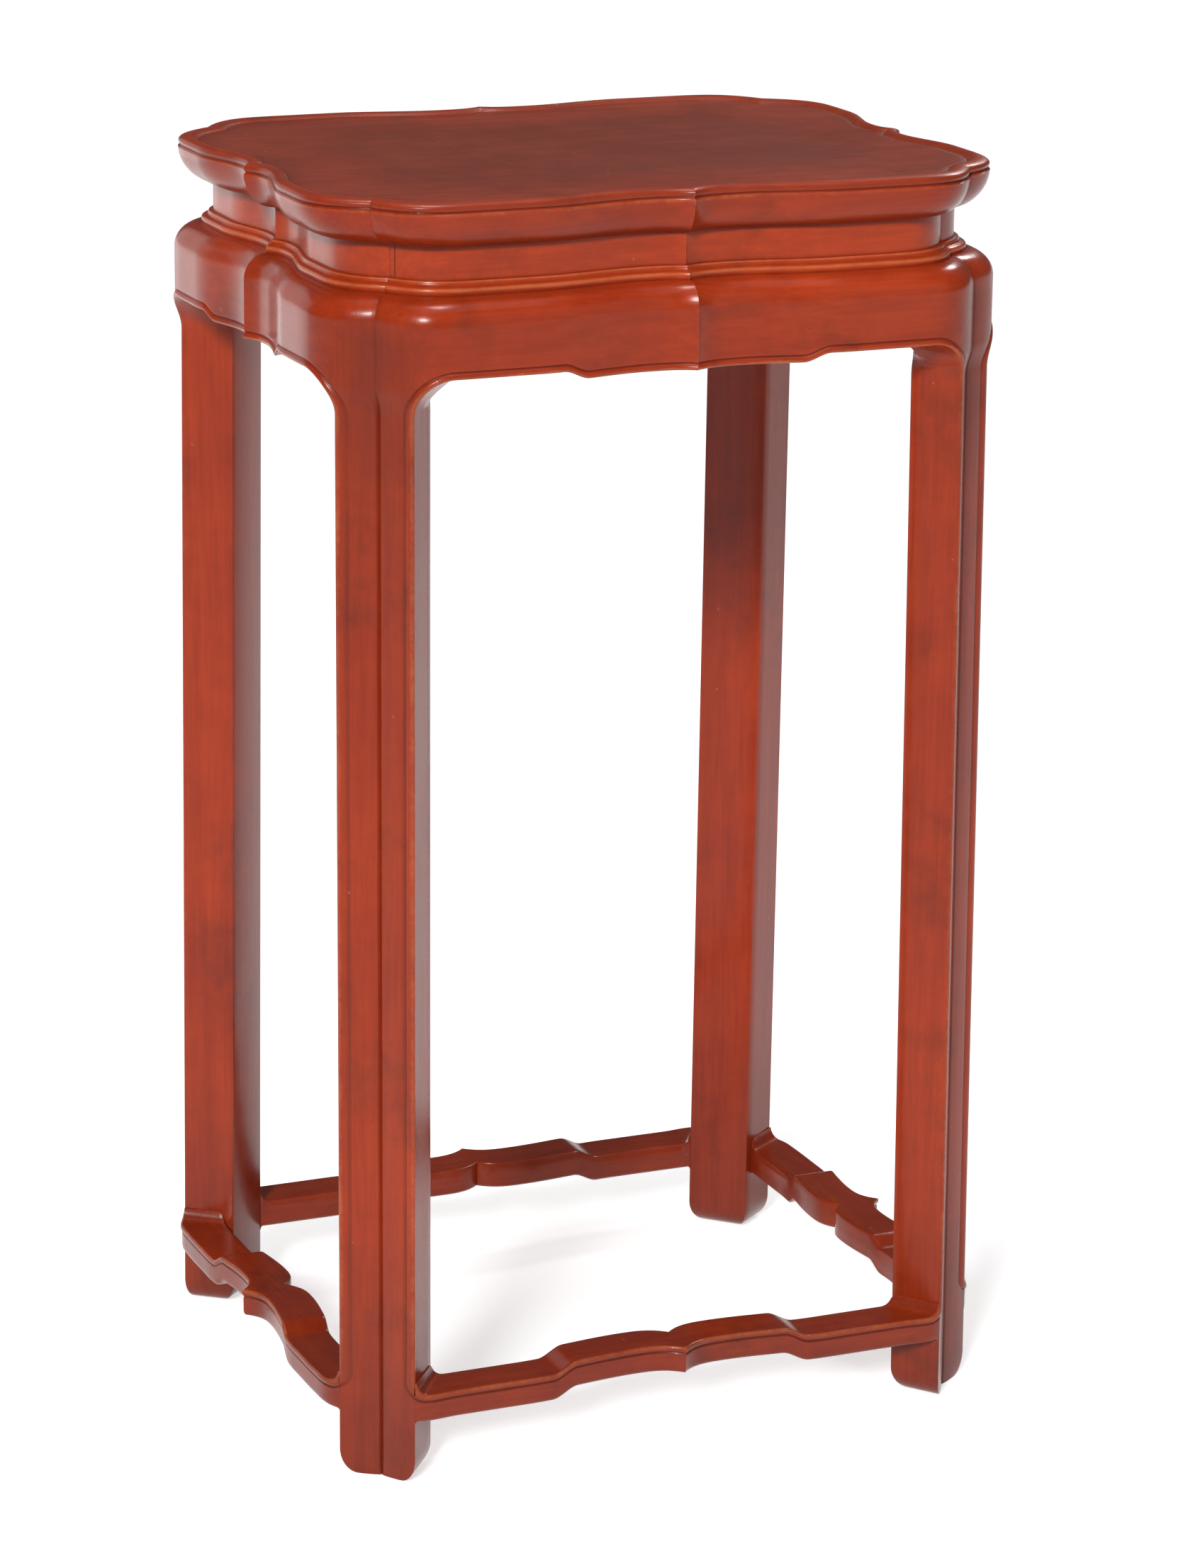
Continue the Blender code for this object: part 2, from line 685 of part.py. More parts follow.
def rail(side):
    """Base rail: bracket shaped in plan, raised at the centre, beaded outer edge, tenoned into two legs."""
    half, base = halves(side, RAIL_X, RAIL_Y)
    ends = [rail_end(side, across, half, base) for across, _ in RAIL_PROFILE]
    fan_end = LEG_SPAN + RAIL_WIDTH + FILLET
    run = step_stations(half, fan_end)
    half_columns = [tenon_loop(side, half, base, True), tenon_loop(side, half, base, False)]
    for k in range(len(RAIL_FAN) + len(run)):
        column = []
        for (across, up), end in zip(RAIL_PROFILE, ends):
            if k < len(RAIL_FAN):
                along = mix(end, half - fan_end, RAIL_FAN[k])
            else:
                along = half - run[k - len(RAIL_FAN)]
            low, high = rail_levels(half - along, half)
            column.append((along, rail_point(side, across, half, base, along), mix(low, high, up)))
        half_columns.append(column)
    columns = [[place(side, -a, o, z) for a, o, z in c] for c in half_columns]
    columns += [[place(side, a, o, z) for a, o, z in c] for c in half_columns[-2::-1]]
    section = [(-across, up) for across, up in RAIL_PROFILE]
    return loft("rail_" + side, columns, section)


def rail_mortise(side, sign):
    """Body that cuts a rail tenon's mortise out of a leg."""
    half, base = halves(side, RAIL_X, RAIL_Y)
    tip = tenon_loop(side, half, base, True, SEAM)
    outs = [p[1] for p in tip]
    zs = [p[2] for p in tip]
    start = rail_end(side, 0.5, half, base) - 2.0 * RAIL_TENON_WIDTH
    a = place(side, sign * start, min(outs), min(zs))
    b = place(side, sign * tip[0][0], max(outs), max(zs))
    low = [min(a[i], b[i]) for i in range(3)]
    high = [max(a[i], b[i]) for i in range(3)]
    return box("mortise", low, high)


def panel():
    """Panel let into the rebate inside the lip."""
    half_x, half_y, relief, _ = lip_row(LIP_WIDTH + SEAM, Z_PANEL)
    ring = []
    for side in SIDES:
        half, base = halves(side, half_x, half_y)
        spans = stations(half)
        signed = [(-1, s) for s in spans] + [(1, s) for s in spans[-2:0:-1]]
        for sign, span in signed:
            out = base + relief * outline_height(span, half, APRON_SHAPE)
            ring.append(place(side, sign * (half - span), out, 0.0))
    bm = bmesh.new()
    low = [bm.verts.new((p.x, p.y, Z_LEDGE + SEAM)) for p in ring]
    high = [bm.verts.new((p.x, p.y, Z_PANEL)) for p in ring]
    count = len(ring)
    for i in range(count):
        j = (i + 1) % count
        bm.faces.new((low[i], low[j], high[j], high[i]))
    bm.faces.new(low[::-1])
    bm.faces.new(high)
    return new_object("top_panel", bm)


def batten(name, sign):
    """Batten across the panel's back: dovetail key above, tenons into the long members at both ends."""
    x = sign * BATTEN_AT
    high = Z_LEDGE
    low = high - BATTEN_DEPTH
    length = OPEN_Y - SEAM
    key_low = 0.5 * BATTEN_HALF
    key_high = 0.62 * BATTEN_HALF
    section = ((-BATTEN_HALF, low), (BATTEN_HALF, low), (BATTEN_HALF, high), (key_low, high),
               (key_high, high + BATTEN_KEY), (-key_high, high + BATTEN_KEY), (-key_low, high),
               (-BATTEN_HALF, high))
    columns = [[Vector((x + u, y, z)) for u, z in section] for y in (-length, length)]
    return loft(name, columns, section)


def batten_key_slot(sign):
    """Dovetail slot for a batten's key, across the panel's underside."""
    x = sign * BATTEN_AT
    key_low = 0.5 * BATTEN_HALF + SEAM
    key_high = 0.62 * BATTEN_HALF + SEAM
    low = Z_LEDGE - BATTEN_KEY
    high = Z_LEDGE + BATTEN_KEY + SEAM
    section = ((-key_low, low), (key_low, low), (key_low, Z_LEDGE), (key_high, high), (-key_high, high),
               (-key_low, Z_LEDGE))
    length = OPEN_Y
    columns = [[Vector((x + u, y, z)) for u, z in section] for y in (-length, length)]
    return loft("slot", columns, section)


def batten_tenon(sign, end, grow):
    x = sign * BATTEN_AT
    half = 0.5 * BATTEN_HALF + grow
    low = Z_LEDGE - 0.75 * BATTEN_DEPTH - grow
    high = Z_LEDGE - 0.25 * BATTEN_DEPTH + grow
    near = OPEN_Y - 2.0 * BATTEN_TENON
    far = OPEN_Y + BATTEN_TENON + grow
    ys = sorted((end * near, end * far))
    return box("tenon", (x - half, ys[0], low), (x + half, ys[1], high))


def clear_scene():
    for obj in list(bpy.data.objects):
        bpy.data.objects.remove(obj)


def material(name, colour, roughness):
    mat = bpy.data.materials.new(name)
    mat.use_nodes = True
    shader = mat.node_tree.nodes["Principled BSDF"]
    shader.inputs["Base Color"].default_value = (*colour, 1.0)
    shader.inputs["Roughness"].default_value = roughness
    mat.diffuse_color = (*colour, 1.0)
    return mat


RED_LACQUER = (0.36, 0.075, 0.035)
BROWN_LACQUER = (0.22, 0.055, 0.035)
BARE_WOOD = (0.30, 0.16, 0.09)


def finish(obj, colour, roughness):
    obj.data.materials.clear()
    obj.data.materials.append(material("mat_" + obj.name, colour, roughness))
    for polygon in obj.data.polygons:
        polygon.material_index = 0


def build():
    clear_scene()
    frame = {side: swept_side("top_" + side, side, top_rows()) for side in SIDES}
    legs = {corner[0]: leg(corner) for corner in CORNERS}
    rails = {side: rail(side) for side in SIDES}
    board = panel()
    battens = [batten("batten_left", -1), batten("batten_right", 1)]

    for corner in CORNERS:
        name, side_x, side_y = corner
        long_member = frame["back" if side_y > 0 else "front"]
        short_member = frame["right" if side_x > 0 else "left"]
        combine(long_member, corner_tenon(corner, SEAM), "DIFFERENCE")
        combine(short_member, corner_tenon(corner, 0.0), "UNION")
        for is_long, member in ((True, long_member), (False, short_member)):
            combine(legs[name], post_tenon(corner, is_long, 0.0), "UNION")
            combine(member, post_tenon(corner, is_long, SEAM), "DIFFERENCE")
        for side in (("back" if side_y > 0 else "front"), ("right" if side_x > 0 else "left")):
            along = place(side, 1.0, 0.0, 0.0)
            toward = side_x if side in ("front", "back") else side_y
            facing = along.x if side in ("front", "back") else along.y
            combine(legs[name], rail_mortise(side, toward * facing), "DIFFERENCE")

    for sign, body in zip((-1, 1), battens):
        combine(board, batten_key_slot(sign), "DIFFERENCE")
        for end, member in ((-1, "front"), (1, "back")):
            combine(body, batten_tenon(sign, end, 0.0), "UNION")
            combine(frame[member], batten_tenon(sign, end, SEAM), "DIFFERENCE")

    for side in SIDES:
        finish(frame[side], RED_LACQUER, 0.32)
        finish(swept_side("waist_" + side, side, waist_rows()), RED_LACQUER, 0.38)
        finish(swept_side("collar_" + side, side, collar_rows()), RED_LACQUER, 0.34)
        finish(apron(side), RED_LACQUER, 0.32)
        finish(rails[side], RED_LACQUER, 0.36)
    for body in legs.values():
        finish(body, RED_LACQUER, 0.34)
    finish(board, BROWN_LACQUER, 0.40)
    for body in battens:
        finish(body, BARE_WOOD, 0.65)


build()
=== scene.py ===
"""Lacquered stand with a lobed outline: detailed pieces, worn lacquer, studio stage and camera."""
import math
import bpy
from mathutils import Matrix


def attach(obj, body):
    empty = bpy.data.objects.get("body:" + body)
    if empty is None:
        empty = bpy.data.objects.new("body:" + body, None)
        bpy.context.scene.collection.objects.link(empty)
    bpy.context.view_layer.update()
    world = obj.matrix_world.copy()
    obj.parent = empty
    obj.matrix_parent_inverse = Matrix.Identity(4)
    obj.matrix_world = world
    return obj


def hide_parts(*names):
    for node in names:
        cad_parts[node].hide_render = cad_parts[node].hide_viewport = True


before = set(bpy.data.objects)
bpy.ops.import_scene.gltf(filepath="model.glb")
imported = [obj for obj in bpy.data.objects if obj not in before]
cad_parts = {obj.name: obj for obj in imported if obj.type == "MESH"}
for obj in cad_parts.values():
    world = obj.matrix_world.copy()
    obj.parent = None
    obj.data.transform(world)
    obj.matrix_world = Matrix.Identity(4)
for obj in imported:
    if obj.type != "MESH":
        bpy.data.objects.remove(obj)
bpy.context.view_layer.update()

from types import SimpleNamespace

import bmesh
import bpy
from bpy.props import FloatProperty, FloatVectorProperty, PointerProperty
from mathutils import Matrix, Vector

bl_info = {
    "name": "Lobed lacquer stand",
    "version": (1, 0, 0),
    "blender": (4, 5, 0),
    "location": "View3D > Sidebar > Stand",
    "description": "Builds a lacquered stand with a lobed top, waist, aprons, legs and base rails",
    "category": "Object",
}

# Sides with their direction, and corners with their signs, in x and y
SIDES = {"front": (1, 0), "right": (0, 1), "back": (-1, 0), "left": (0, -1)}
CORNERS = {"front_left": (-1, -1), "front_right": (1, -1), "back_right": (1, 1), "back_left": (-1, 1)}


def number(name, description, default, **more):
    return FloatProperty(name=name, description=description, default=default, **more)


def length(name, description, default):
    return number(name, description, default, unit="LENGTH", subtype="DISTANCE", precision=4)


def share(name, description, default):
    return number(name, description, default, subtype="FACTOR", min=0.0, max=2.0)


def angle(name, description, degrees):
    return number(name, description, math.radians(degrees), subtype="ANGLE", unit="ROTATION")


def colour(name, description, default):
    return FloatVectorProperty(name=name, description=description, default=default, subtype="COLOR", size=3,
                               min=0.0, max=1.0)


class OutlineSizes(bpy.types.PropertyGroup):
    """The bracket outline that every level follows."""

    width: length("Width", "Over the lobes of the long aprons' ends", 0.4544)
    depth: length("Depth", "Over the lobes of the short aprons' ends", 0.3770)
    lobe_rise: length("Lobe rise", "Height of a lobe above the corner notch", 0.030)
    lobe_length: length("Lobe length", "Distance from the notch to the top of the lobe", 0.058)
    lobe_power: number("Lobe fullness", "Power of the lobe's curve", 3.7)
    valley_rise: length("Valley rise", "Height of the valley beside the cusp", 0.0195)
    cusp_rise: length("Cusp rise", "Height of the centre cusp", 0.026)
    cusp_power: number("Cusp sharpness", "Power of the cusp's curve", 3.0)
    crest_at: share("Crest place", "Share of the half side where the lobe ends", 0.52)
    valley_at: share("Valley place", "Share of the half side where the valley lies", 0.15)
    step_at: share("Step place", "Share of the half side where edges step", 0.40)
    step_half: share("Step length", "Half length of that step", 0.045)


class TopSizes(bpy.types.PropertyGroup):
    """Top frame and panel."""

    height: length("Height", "Floor to the crest of the lip", 0.8015)
    lip_rise: length("Lip rise", "Lip above the panel", 0.0025)
    lip_face: length("Lip face", "Height of the bead on the top's edge", 0.0055)
    lip_width: length("Lip width", "Across the lip", 0.0100)
    top_depth: length("Top depth", "Height of the top frame", 0.028)
    top_less_x: length("Top less in width", "Top's half width short of the apron's", 0.0003)
    top_less_y: length("Top less in depth", "Top's half depth short of the apron's", 0.0082)
    ovolo_overhang: length("Ovolo overhang", "Foot of the ovolo beyond the waist", 0.0012)
    line_depth: length("Line depth", "Depth of the fine line under the bead", 0.0009)
    frame_in: length("Frame inside", "Inside of the frame behind the apron line", 0.0385)
    panel_thick: length("Panel thickness", "Thickness of the panel", 0.012)
    relief_fade: length("Relief fade", "Inset at which the outline would fade out", 0.25)


class WaistSizes(bpy.types.PropertyGroup):
    """Waist boards and collar moulding."""

    waist_height: length("Waist height", "Height of the waist", 0.020)
    waist_in: length("Waist inset", "Waist behind the apron line", 0.0156)
    waist_thick: length("Waist thickness", "Thickness of the waist boards", 0.0092)
    waist_relief: share("Waist relief", "Share of the outline's height at the waist", 0.80)
    joint_line: length("Joint line", "Place of the fine joint line beside the notch", 0.0021)
    collar_height: length("Collar height", "Height of the collar", 0.008)
    collar_in: length("Collar inset", "Collar behind the apron line", 0.0112)
    collar_relief: share("Collar relief", "Share of the outline's height at the collar", 0.85)


class ApronSizes(bpy.types.PropertyGroup):
    """Aprons and their round into the legs."""

    apron_height: length("Apron height", "Height of an apron beside the legs", 0.047)
    apron_drop: length("Apron drop", "Lower centre of the apron", 0.0055)
    apron_thick: length("Apron thickness", "Thickness of an apron", 0.020)
    shoulder_height: length("Shoulder height", "Height of the rounded shoulder", 0.016)
    fillet: length("Corner round", "Round between apron and leg", 0.025)
    mitre_top: length("Mitre top", "Width of the leg's shoulder at its top", 0.004)
    bead_rise: length("Bead rise", "Roll of the edge bead above the face", 0.0010)
    bead_apron: length("Apron bead", "Width of the bead on the aprons", 0.0042)
    bead_leg: length("Leg bead", "Width of the bead on the legs", 0.0044)
    bead_rail: length("Rail bead", "Width of the bead on the base rails", 0.0046)


class LegSizes(bpy.types.PropertyGroup):
    """Leg section, lean and foot."""

    leg_span: length("Lobe half", "Length of a leg's lobe from its notch", 0.0157)
    leg_depth: length("Depth", "Notch to back along the corner diagonal", 0.0309)
    leg_back_half: length("Back half", "Half width of the leg's back", 0.0214)
    leg_in: length("Inset", "Leg's notch behind the apron's", 0.0014)
    leg_valley: length("Valley", "Extra depth of the valley between a leg's lobes", 0.0016)
    valley_line: length("Valley line", "Depth of the narrow groove along the valley", 0.0011)
    valley_half: length("Valley line half", "Half width of that groove", 0.0011)
    leg_bulge: length("Bulge", "Swell of a leg's lobes", 0.0007)
    splay_x: length("Lean in width", "Foot beyond the head, in width", 0.0020)
    splay_y: length("Lean in depth", "Foot beyond the head, in depth", 0.0100)
    foot_round: length("Foot round", "Round at the bottom of the foot", 0.016)
    foot_tuck: length("Foot tuck", "How far the foot's corners draw in at the floor", 0.016)
    head_half: length("Head half", "Half width of the head behind the aprons", 0.018)
    head_front: length("Head front", "Front of the head behind the notch", 0.0275)
    head_depth: length("Head depth", "Back of the head behind the notch", 0.056)
    post_half: length("Post half", "Half width of the post behind the waist", 0.016)


class RailSizes(bpy.types.PropertyGroup):
    """Base rails."""

    rail_under: length("Clear height", "Floor to the rail", 0.042)
    rail_thick: length("Thickness", "Height of a rail", 0.018)
    rail_hump: length("Hump", "Rise of the rail's centre", 0.0065)
    rail_width: length("Width", "Across a rail", 0.029)
    rail_out_x: length("Out in width", "Rail line beyond the apron line, in width", 0.0028)
    rail_out_y: length("Out in depth", "Rail line beyond the apron line, in depth", 0.0060)
    rail_lobe: length("Lobe rise", "Height of the rail's lobes", 0.0255)
    rail_valley: length("Valley rise", "Height of the rail's valleys", 0.0195)
    rail_cusp: length("Cusp rise", "Height of the rail's cusp", 0.029)
    turn: length("Turn", "Round of the bead from leg to rail", 0.0075)
    ridge: length("Ridge", "Small ledge where the rail's round stands proud of the leg", 0.0012)
    under_turn: length("Under turn", "Round under the rail at the leg", 0.003)
    rail_blend: length("Blend", "Length over which a rail's face meets the leg flush", 0.030)


class LacquerLook(bpy.types.PropertyGroup):
    """Colours of the finishes."""

    red_deep: colour("Deep red", "Lacquer where it is thick", (0.315, 0.028, 0.006))
    red_bright: colour("Bright red", "Lacquer where it is thin", (0.405, 0.043, 0.009))
    # Painted light: a brighter copy of the red lacquer for the waist and collar, which makes up for the
    # shade under the top
    thin_deep: colour("Thin deep red", "Waist lacquer where it is thicker", (0.412, 0.041, 0.008))
    thin_bright: colour("Thin bright red", "Waist lacquer where it is thin", (0.520, 0.058, 0.011))
    brown_deep: colour("Deep brown", "Panel lacquer where it is thick", (0.195, 0.027, 0.011))
    brown_bright: colour("Bright brown", "Panel lacquer where it is thin", (0.275, 0.039, 0.015))
    # The worn colour is also the painted highlight on edges, beads, crests and cusps
    worn_and_highlight: colour("Worn", "Lacquer rubbed thin on edges", (0.600, 0.160, 0.055))
    # The grime colour is also the painted shade under mouldings, in creases and in coves
    grime_and_shade: colour("Grime", "Old polish in grooves and corners", (0.070, 0.013, 0.006))
    dust: colour("Dust", "Pale specks", (0.330, 0.150, 0.110))
    wood_deep: colour("Dark grain", "Late wood of the battens", (0.150, 0.070, 0.035))
    wood_bright: colour("Pale grain", "Early wood of the battens", (0.330, 0.185, 0.100))


class StageLook(bpy.types.PropertyGroup):
    """Floor, surroundings and camera."""

    floor: colour("Floor", "Colour of the floor", (0.80, 0.80, 0.80))
    floor_glow: share("Floor glow", "Light that the floor adds where it is seen", 0.60)
    air: share("Air", "Light of the surroundings", 0.09)
    azimuth: angle("Azimuth", "Camera's bearing from the front", -23.15)
    elevation: angle("Elevation", "Camera above the horizon", 16.18)
    roll: angle("Roll", "Camera's tilt", 0.691)
    distance: length("Distance", "Camera from its target", 3.215)
    target_height: length("Target height", "Height of the camera's target", 0.4045)
    slide: length("Slide", "Camera moved sideways", 0.0114)
    lift: length("Lift", "Camera moved up", -0.0187)
    lens: number("Lens", "Focal length in millimetres", 113.906)


GROUPS = {"stand_outline": OutlineSizes, "stand_top": TopSizes, "stand_waist": WaistSizes,
          "stand_apron": ApronSizes, "stand_leg": LegSizes, "stand_rail": RailSizes}
LOOKS = {"stand_look": LacquerLook, "stand_stage": StageLook}

# Joint clearance, distance at which vertices are one, and the angle from which an edge shades as a crease
SEAM = 0.00004
MERGE = 0.000004
CREASE = math.radians(32.0)

# Step by which a curve's direction is read, and clearance between a rail's end and the leg's cheek
STEP = 0.0002
RAIL_CLEAR = 0.0002

# Halvings by which a place is found
HALVINGS = 44

# Stations along a side: angle between them on a lobe, their count there, to the valley and to the cusp
LOBE_ANGLE = 5.0
LOBE_STATIONS = 18
VALLEY_STATIONS = 30
CUSP_STATIONS = 12

# Stations along an apron or a rail: to half way past the valley, and to the cusp
RUN_STATIONS = 60
RUN_CUSP_STATIONS = 8

# Waist joint line: half width at its rim and at its floor, and depth
JOINT_RIM = 0.0003
JOINT_FLOOR = 0.0001
JOINT_DEPTH = 0.0004

# Lip: share of its width from outside, drop as a share of its face, wear with a painted highlight along the
# crest, grime
LIP_PROFILE = ((0.98, 0.44, 0.0, 1.0), (0.92, 0.36, 0.0, 1.0), (0.84, 0.21, 0.0, 1.0),
               (0.72, 0.07, 0.0, 0.95), (0.62, 0.015, 0.3, 0.8), (0.52, 0.0, 0.5, 0.6),
               (0.33, 0.05, 0.1, 0.85), (0.14, 0.22, 0.15, 0.65), (0.038, 0.48, 0.2, 0.42),
               (0.038, 0.74, 0.1, 0.35), (0.075, 0.93, 0.0, 0.4), (0.125, 1.0, 0.0, 0.6))

# Foot of the lip below the panel's face
LIP_FOOT = 0.0004

# Fine line under the lip: past its depth by, below the lip by, and its grime
LINE_ROWS = ((0.0003, 0.0002), (0.0, 0.0005))
LINE_GRIME = 0.7

# Ovolo: angles of its rows, and its eased rim as an angle and an inset per degree
OVOLO_ANGLES = (2.6, 3.0, 4.0, 7, 11, *range(16, 83, 6), 87, 90)
RIM_ANGLE = 4.0
RIM_PER_DEGREE = 0.00045

# Ovolo: wear with a painted highlight on its rim down to an angle, angle at which painted shade on its
# underside starts and that over which it grows
RIM_WEAR_AND_HIGHLIGHT = 0.55
RIM_HIGHLIGHT_ANGLE = 8.0
OVOLO_SHADE_ANGLE = 38.0
OVOLO_SHADE_GROWTH = 50.0

# Grime of the frame's inside
INSIDE_GRIME = 0.3

# Panel: inset from the lip, drop below its face, grime
PANEL_FACE = ((0.0, 0.0005, 1.0), (0.0001, 0.0002, 1.0), (0.0005, 0.0, 1.0), (0.0040, 0.0, 0.55),
              (0.0120, 0.0, 0.22), (0.0300, 0.0, 0.25), (0.0650, 0.0, 0.95))

# Waist: share of its height from the top, grime, which at the top is painted shade under the ovolo
WAIST_FACE = ((0.0, 0.8), (0.05, 0.4), (0.16, 0.1), (0.35, 0.0), (0.7, 0.0), (0.9, 0.1), (1.0, 0.5))

# Collar: share from the waist line to the collar line, share of its height from the top, wear with painted
# highlights on its edges, grime with painted shade in its cove
COLLAR_PROFILE = ((0.34, 0.0, 0.1, 0.3), (0.42, 0.05, 0.8, 0.0), (0.46, 0.16, 0.6, 0.0),
                  (0.50, 0.27, 0.0, 0.3), (0.60, 0.35, 0.0, 0.25), (0.82, 0.41, 0.1, 0.0),
                  (1.00, 0.48, 0.6, 0.0), (1.10, 0.60, 0.9, 0.0), (1.12, 0.73, 0.6, 0.0),
                  (1.09, 0.87, 0.1, 0.0), (1.04, 1.0, 0.0, 0.4))

# Edge bead: distance from the edge as a share of its width, lift as a share of its rise, wear with a painted
# highlight on the bead, grime
BEAD_PROFILE = ((0.00, -0.30, 0.55, 0.0), (0.05, 0.20, 0.7, 0.0), (0.13, 0.62, 0.75, 0.0),
                (0.24, 0.90, 0.7, 0.0), (0.36, 1.00, 0.6, 0.0), (0.50, 0.94, 0.4, 0.0),
                (0.63, 0.72, 0.2, 0.0), (0.75, 0.36, 0.0, 0.2), (0.85, -0.05, 0.0, 0.4),
                (0.93, -0.45, 0.0, 0.9), (1.00, -0.58, 0.0, 1.0), (1.07, -0.45, 0.0, 0.9),
                (1.15, -0.08, 0.1, 0.3), (1.25, 0.0, 0.1, 0.0), (1.50, 0.0, 0.0, 0.0))
EDGE_STEPS = tuple(row[0] for row in reversed(BEAD_PROFILE))

# Apron: shares down its face, inset and wear of the rows that turn under it, last of them before its back
APRON_FACE = (0.12, 0.3, 0.5, 0.7, 0.88)
UNDER_EDGE = ((0.0009, 0.3), (0.004, 0.0))
BACK_ROW = 0.001

# Leg: shares across a lobe inside its bead, shares of the way to the middle of a cheek, wear from there on
INNER_STEPS = (0.0, 0.03, 0.06, 0.085, 0.12, 0.16, 0.30, 0.47, 0.65, 0.82)
CHEEK_STEPS = (0.05, 0.14, 0.4, 0.7, 1.0)
INSIDE_WEAR = (0.5, 0.2, 0.0, 0.0, 0.0, 0.0, 0.1, 0.4, 0.1)

# Leg: share of the way from its edge to its back where a cheek has its middle, angles and wear of its foot
CHEEK_MIDDLE = 0.55
FOOT_ANGLES = (0, 12, 24, 36, 48, 60, 72, 82, 90)
FOOT_WEAR = 0.3

# Leg: height in which its bead turns from the rail's width to its own, share of its groove left at the top
BEAD_BLEND = 0.03
GROOVE_AT_TOP = 0.15

# Leg: close rings reach below the rail and above its turn, start of the head above the mitre, first step
BELOW_RAIL = 0.004
ABOVE_TURN = 0.006
HEAD_ABOVE = 0.006
HEAD_STEP = 0.0012

# Post on a leg's head: clearance in front and behind, how far it sinks into the head, grime
POST_CLEAR = 0.001
POST_SINK = 0.002
POST_GRIME = 0.2

# Base rail: share across from outside, distance in metres from its lower or upper level, wear with painted
# highlights on its edges, grime
RAIL_LOW = ((0.10, 0.0, 0.0, 0.1), (0.055, 0.0003, 0.1, 0.1), (0.022, 0.0012, 0.3, 0.0),
            (0.006, 0.0024, 0.3, 0.0), (0.0, 0.0038, 0.1, 0.0), (0.0, 0.0062, 0.0, 0.0))
RAIL_TOP = ((0.020, 0.0, 0.6, 0.0), (0.060, 0.0, 0.3, 0.0), (0.12, 0.0, 0.1, 0.0), (0.5, 0.0, 0.0, 0.0),
            (0.90, 0.0, 0.1, 0.0), (0.955, 0.0001, 0.4, 0.0), (0.985, 0.0005, 0.5, 0.0),
            (1.0, 0.0013, 0.3, 0.0))
RAIL_INSIDE = ((1.0, 0.006, 0.0, 0.0), (1.0, 0.0012, 0.2, 0.0), (0.96, 0.0, 0.1, 0.0))

# Share of a lobe where an apron's sections stand square, and shares of the way there from mitre or cheek
APRON_FAN_END = 0.8
APRON_FAN = (0.0, 0.02, 0.05, 0.09, 0.14, 0.20, 0.27, 0.35, 0.44, 0.54, 0.65, 0.77, 0.88, 1.0)
RAIL_FAN = (0.0, 0.005, 0.020, 0.028, 0.045, 0.065, 0.088, 0.112, 0.135, 0.165, 0.21, 0.27, 0.35, 0.45, 0.57,
            0.70, 0.85, 1.0)

# Wear with a painted highlight along the cusps, on the mouldings above, and on the aprons and rails
CUSP_WEAR_AND_HIGHLIGHT = 0.75
FACE_CUSP_WEAR_AND_HIGHLIGHT = 0.7

# Grime of a mitre, and painted shade with grime in a leg's valley
MITRE_GRIME = 0.6
VALLEY_SHADE_AND_GRIME = 0.40

# Painted shade and grime under the collar at the top of the shoulder, the angle over which it fades, and its
# fall down a leg
TOP_SHADE = 0.15
SHADE_ANGLE = 24.0
SHADE_FALL = 0.002

# Painted shade in the cove on top of a rail near the leg: strength, distance from the leg, and reach
RAIL_COVE_SHADE = 0.6
RAIL_END_AT = 0.003
RAIL_END_REACH = 0.004

# What is left of a bead's wear and painted highlight, and of its grime, down a leg, and the height over
# which it drops to that
LEG_WEAR_AND_HIGHLIGHT = 0.85
LEG_GRIME = 0.65
LEG_FADE = 0.03

# Brown patina round the notches: strength, reach along the side, fade down the leg, fade below the collar
PATINA = 0.85
PATINA_REACH = 0.018
PATINA_DOWN = 0.10
PATINA_UP = 0.03

# Grain direction of the pieces: how much each axis is squeezed, so that streaks run along the piece
GRAIN = {"long": (0.05, 1.0, 1.0), "short": (1.0, 0.05, 1.0), "upright": (1.0, 1.0, 0.05),
         "panel": (0.05, 1.0, 1.0)}

# Lacquers: first word of their two colours in the look, and roughness
# The thin red is painted light, a brighter copy of the red that makes up for the shade under the top
LACQUERS = {"red_lacquer": ("red", 0.19), "painted_lit_red_lacquer": ("thin", 0.20),
            "brown_lacquer": ("brown", 0.24)}

# Soft boxes: place, point that they face, size, watts
SOFT_LAMPS = {
    "ceiling_lamp": ((0.0, -0.4, 3.0), (0.0, 0.0, 0.75), (2.2, 2.2), 11.0),
    "overhead_lamp": ((-0.14, -0.08, 2.3), (0.0, 0.0, 0.75), (0.70, 0.28), 14.5),
    "back_right_lamp": ((1.45, 1.10, 1.85), (0.0, 0.0, 0.55), (0.34, 0.34), 10.0),
    "back_left_lamp": ((-1.1, 2.3, 0.9), (0.0, 0.0, 0.4), (1.8, 1.8), 9.0),
}

# Day lamps: bearing off the front, elevation and breadth in degrees, strength
DAY_LAMPS = {"key_light": (-38.0, 29.0, 12.0, 2.78), "fill_light": (30.0, 16.0, 50.0, 0.25)}

# Stage: half side of the floor and the camera's far end in metres, sensor width in millimetres
FLOOR_HALF = 15.0
CAMERA_FAR = 100.0
SENSOR_WIDTH = 36.0
WHITE = (1.0, 1.0, 1.0)

# Filters over the lacquer: in its streaks, and painted shade near the floor up to a height
STREAK_FILTER = (0.62, 0.55, 0.55)
FLOOR_SHADE_FILTER = (0.66, 0.74, 0.85)
FLOOR_SHADE_TOP = 0.20


def ease(x):
    x = min(1.0, max(0.0, x))
    return x * x * (3.0 - 2.0 * x)


def mix(a, b, f):
    return a + (b - a) * f


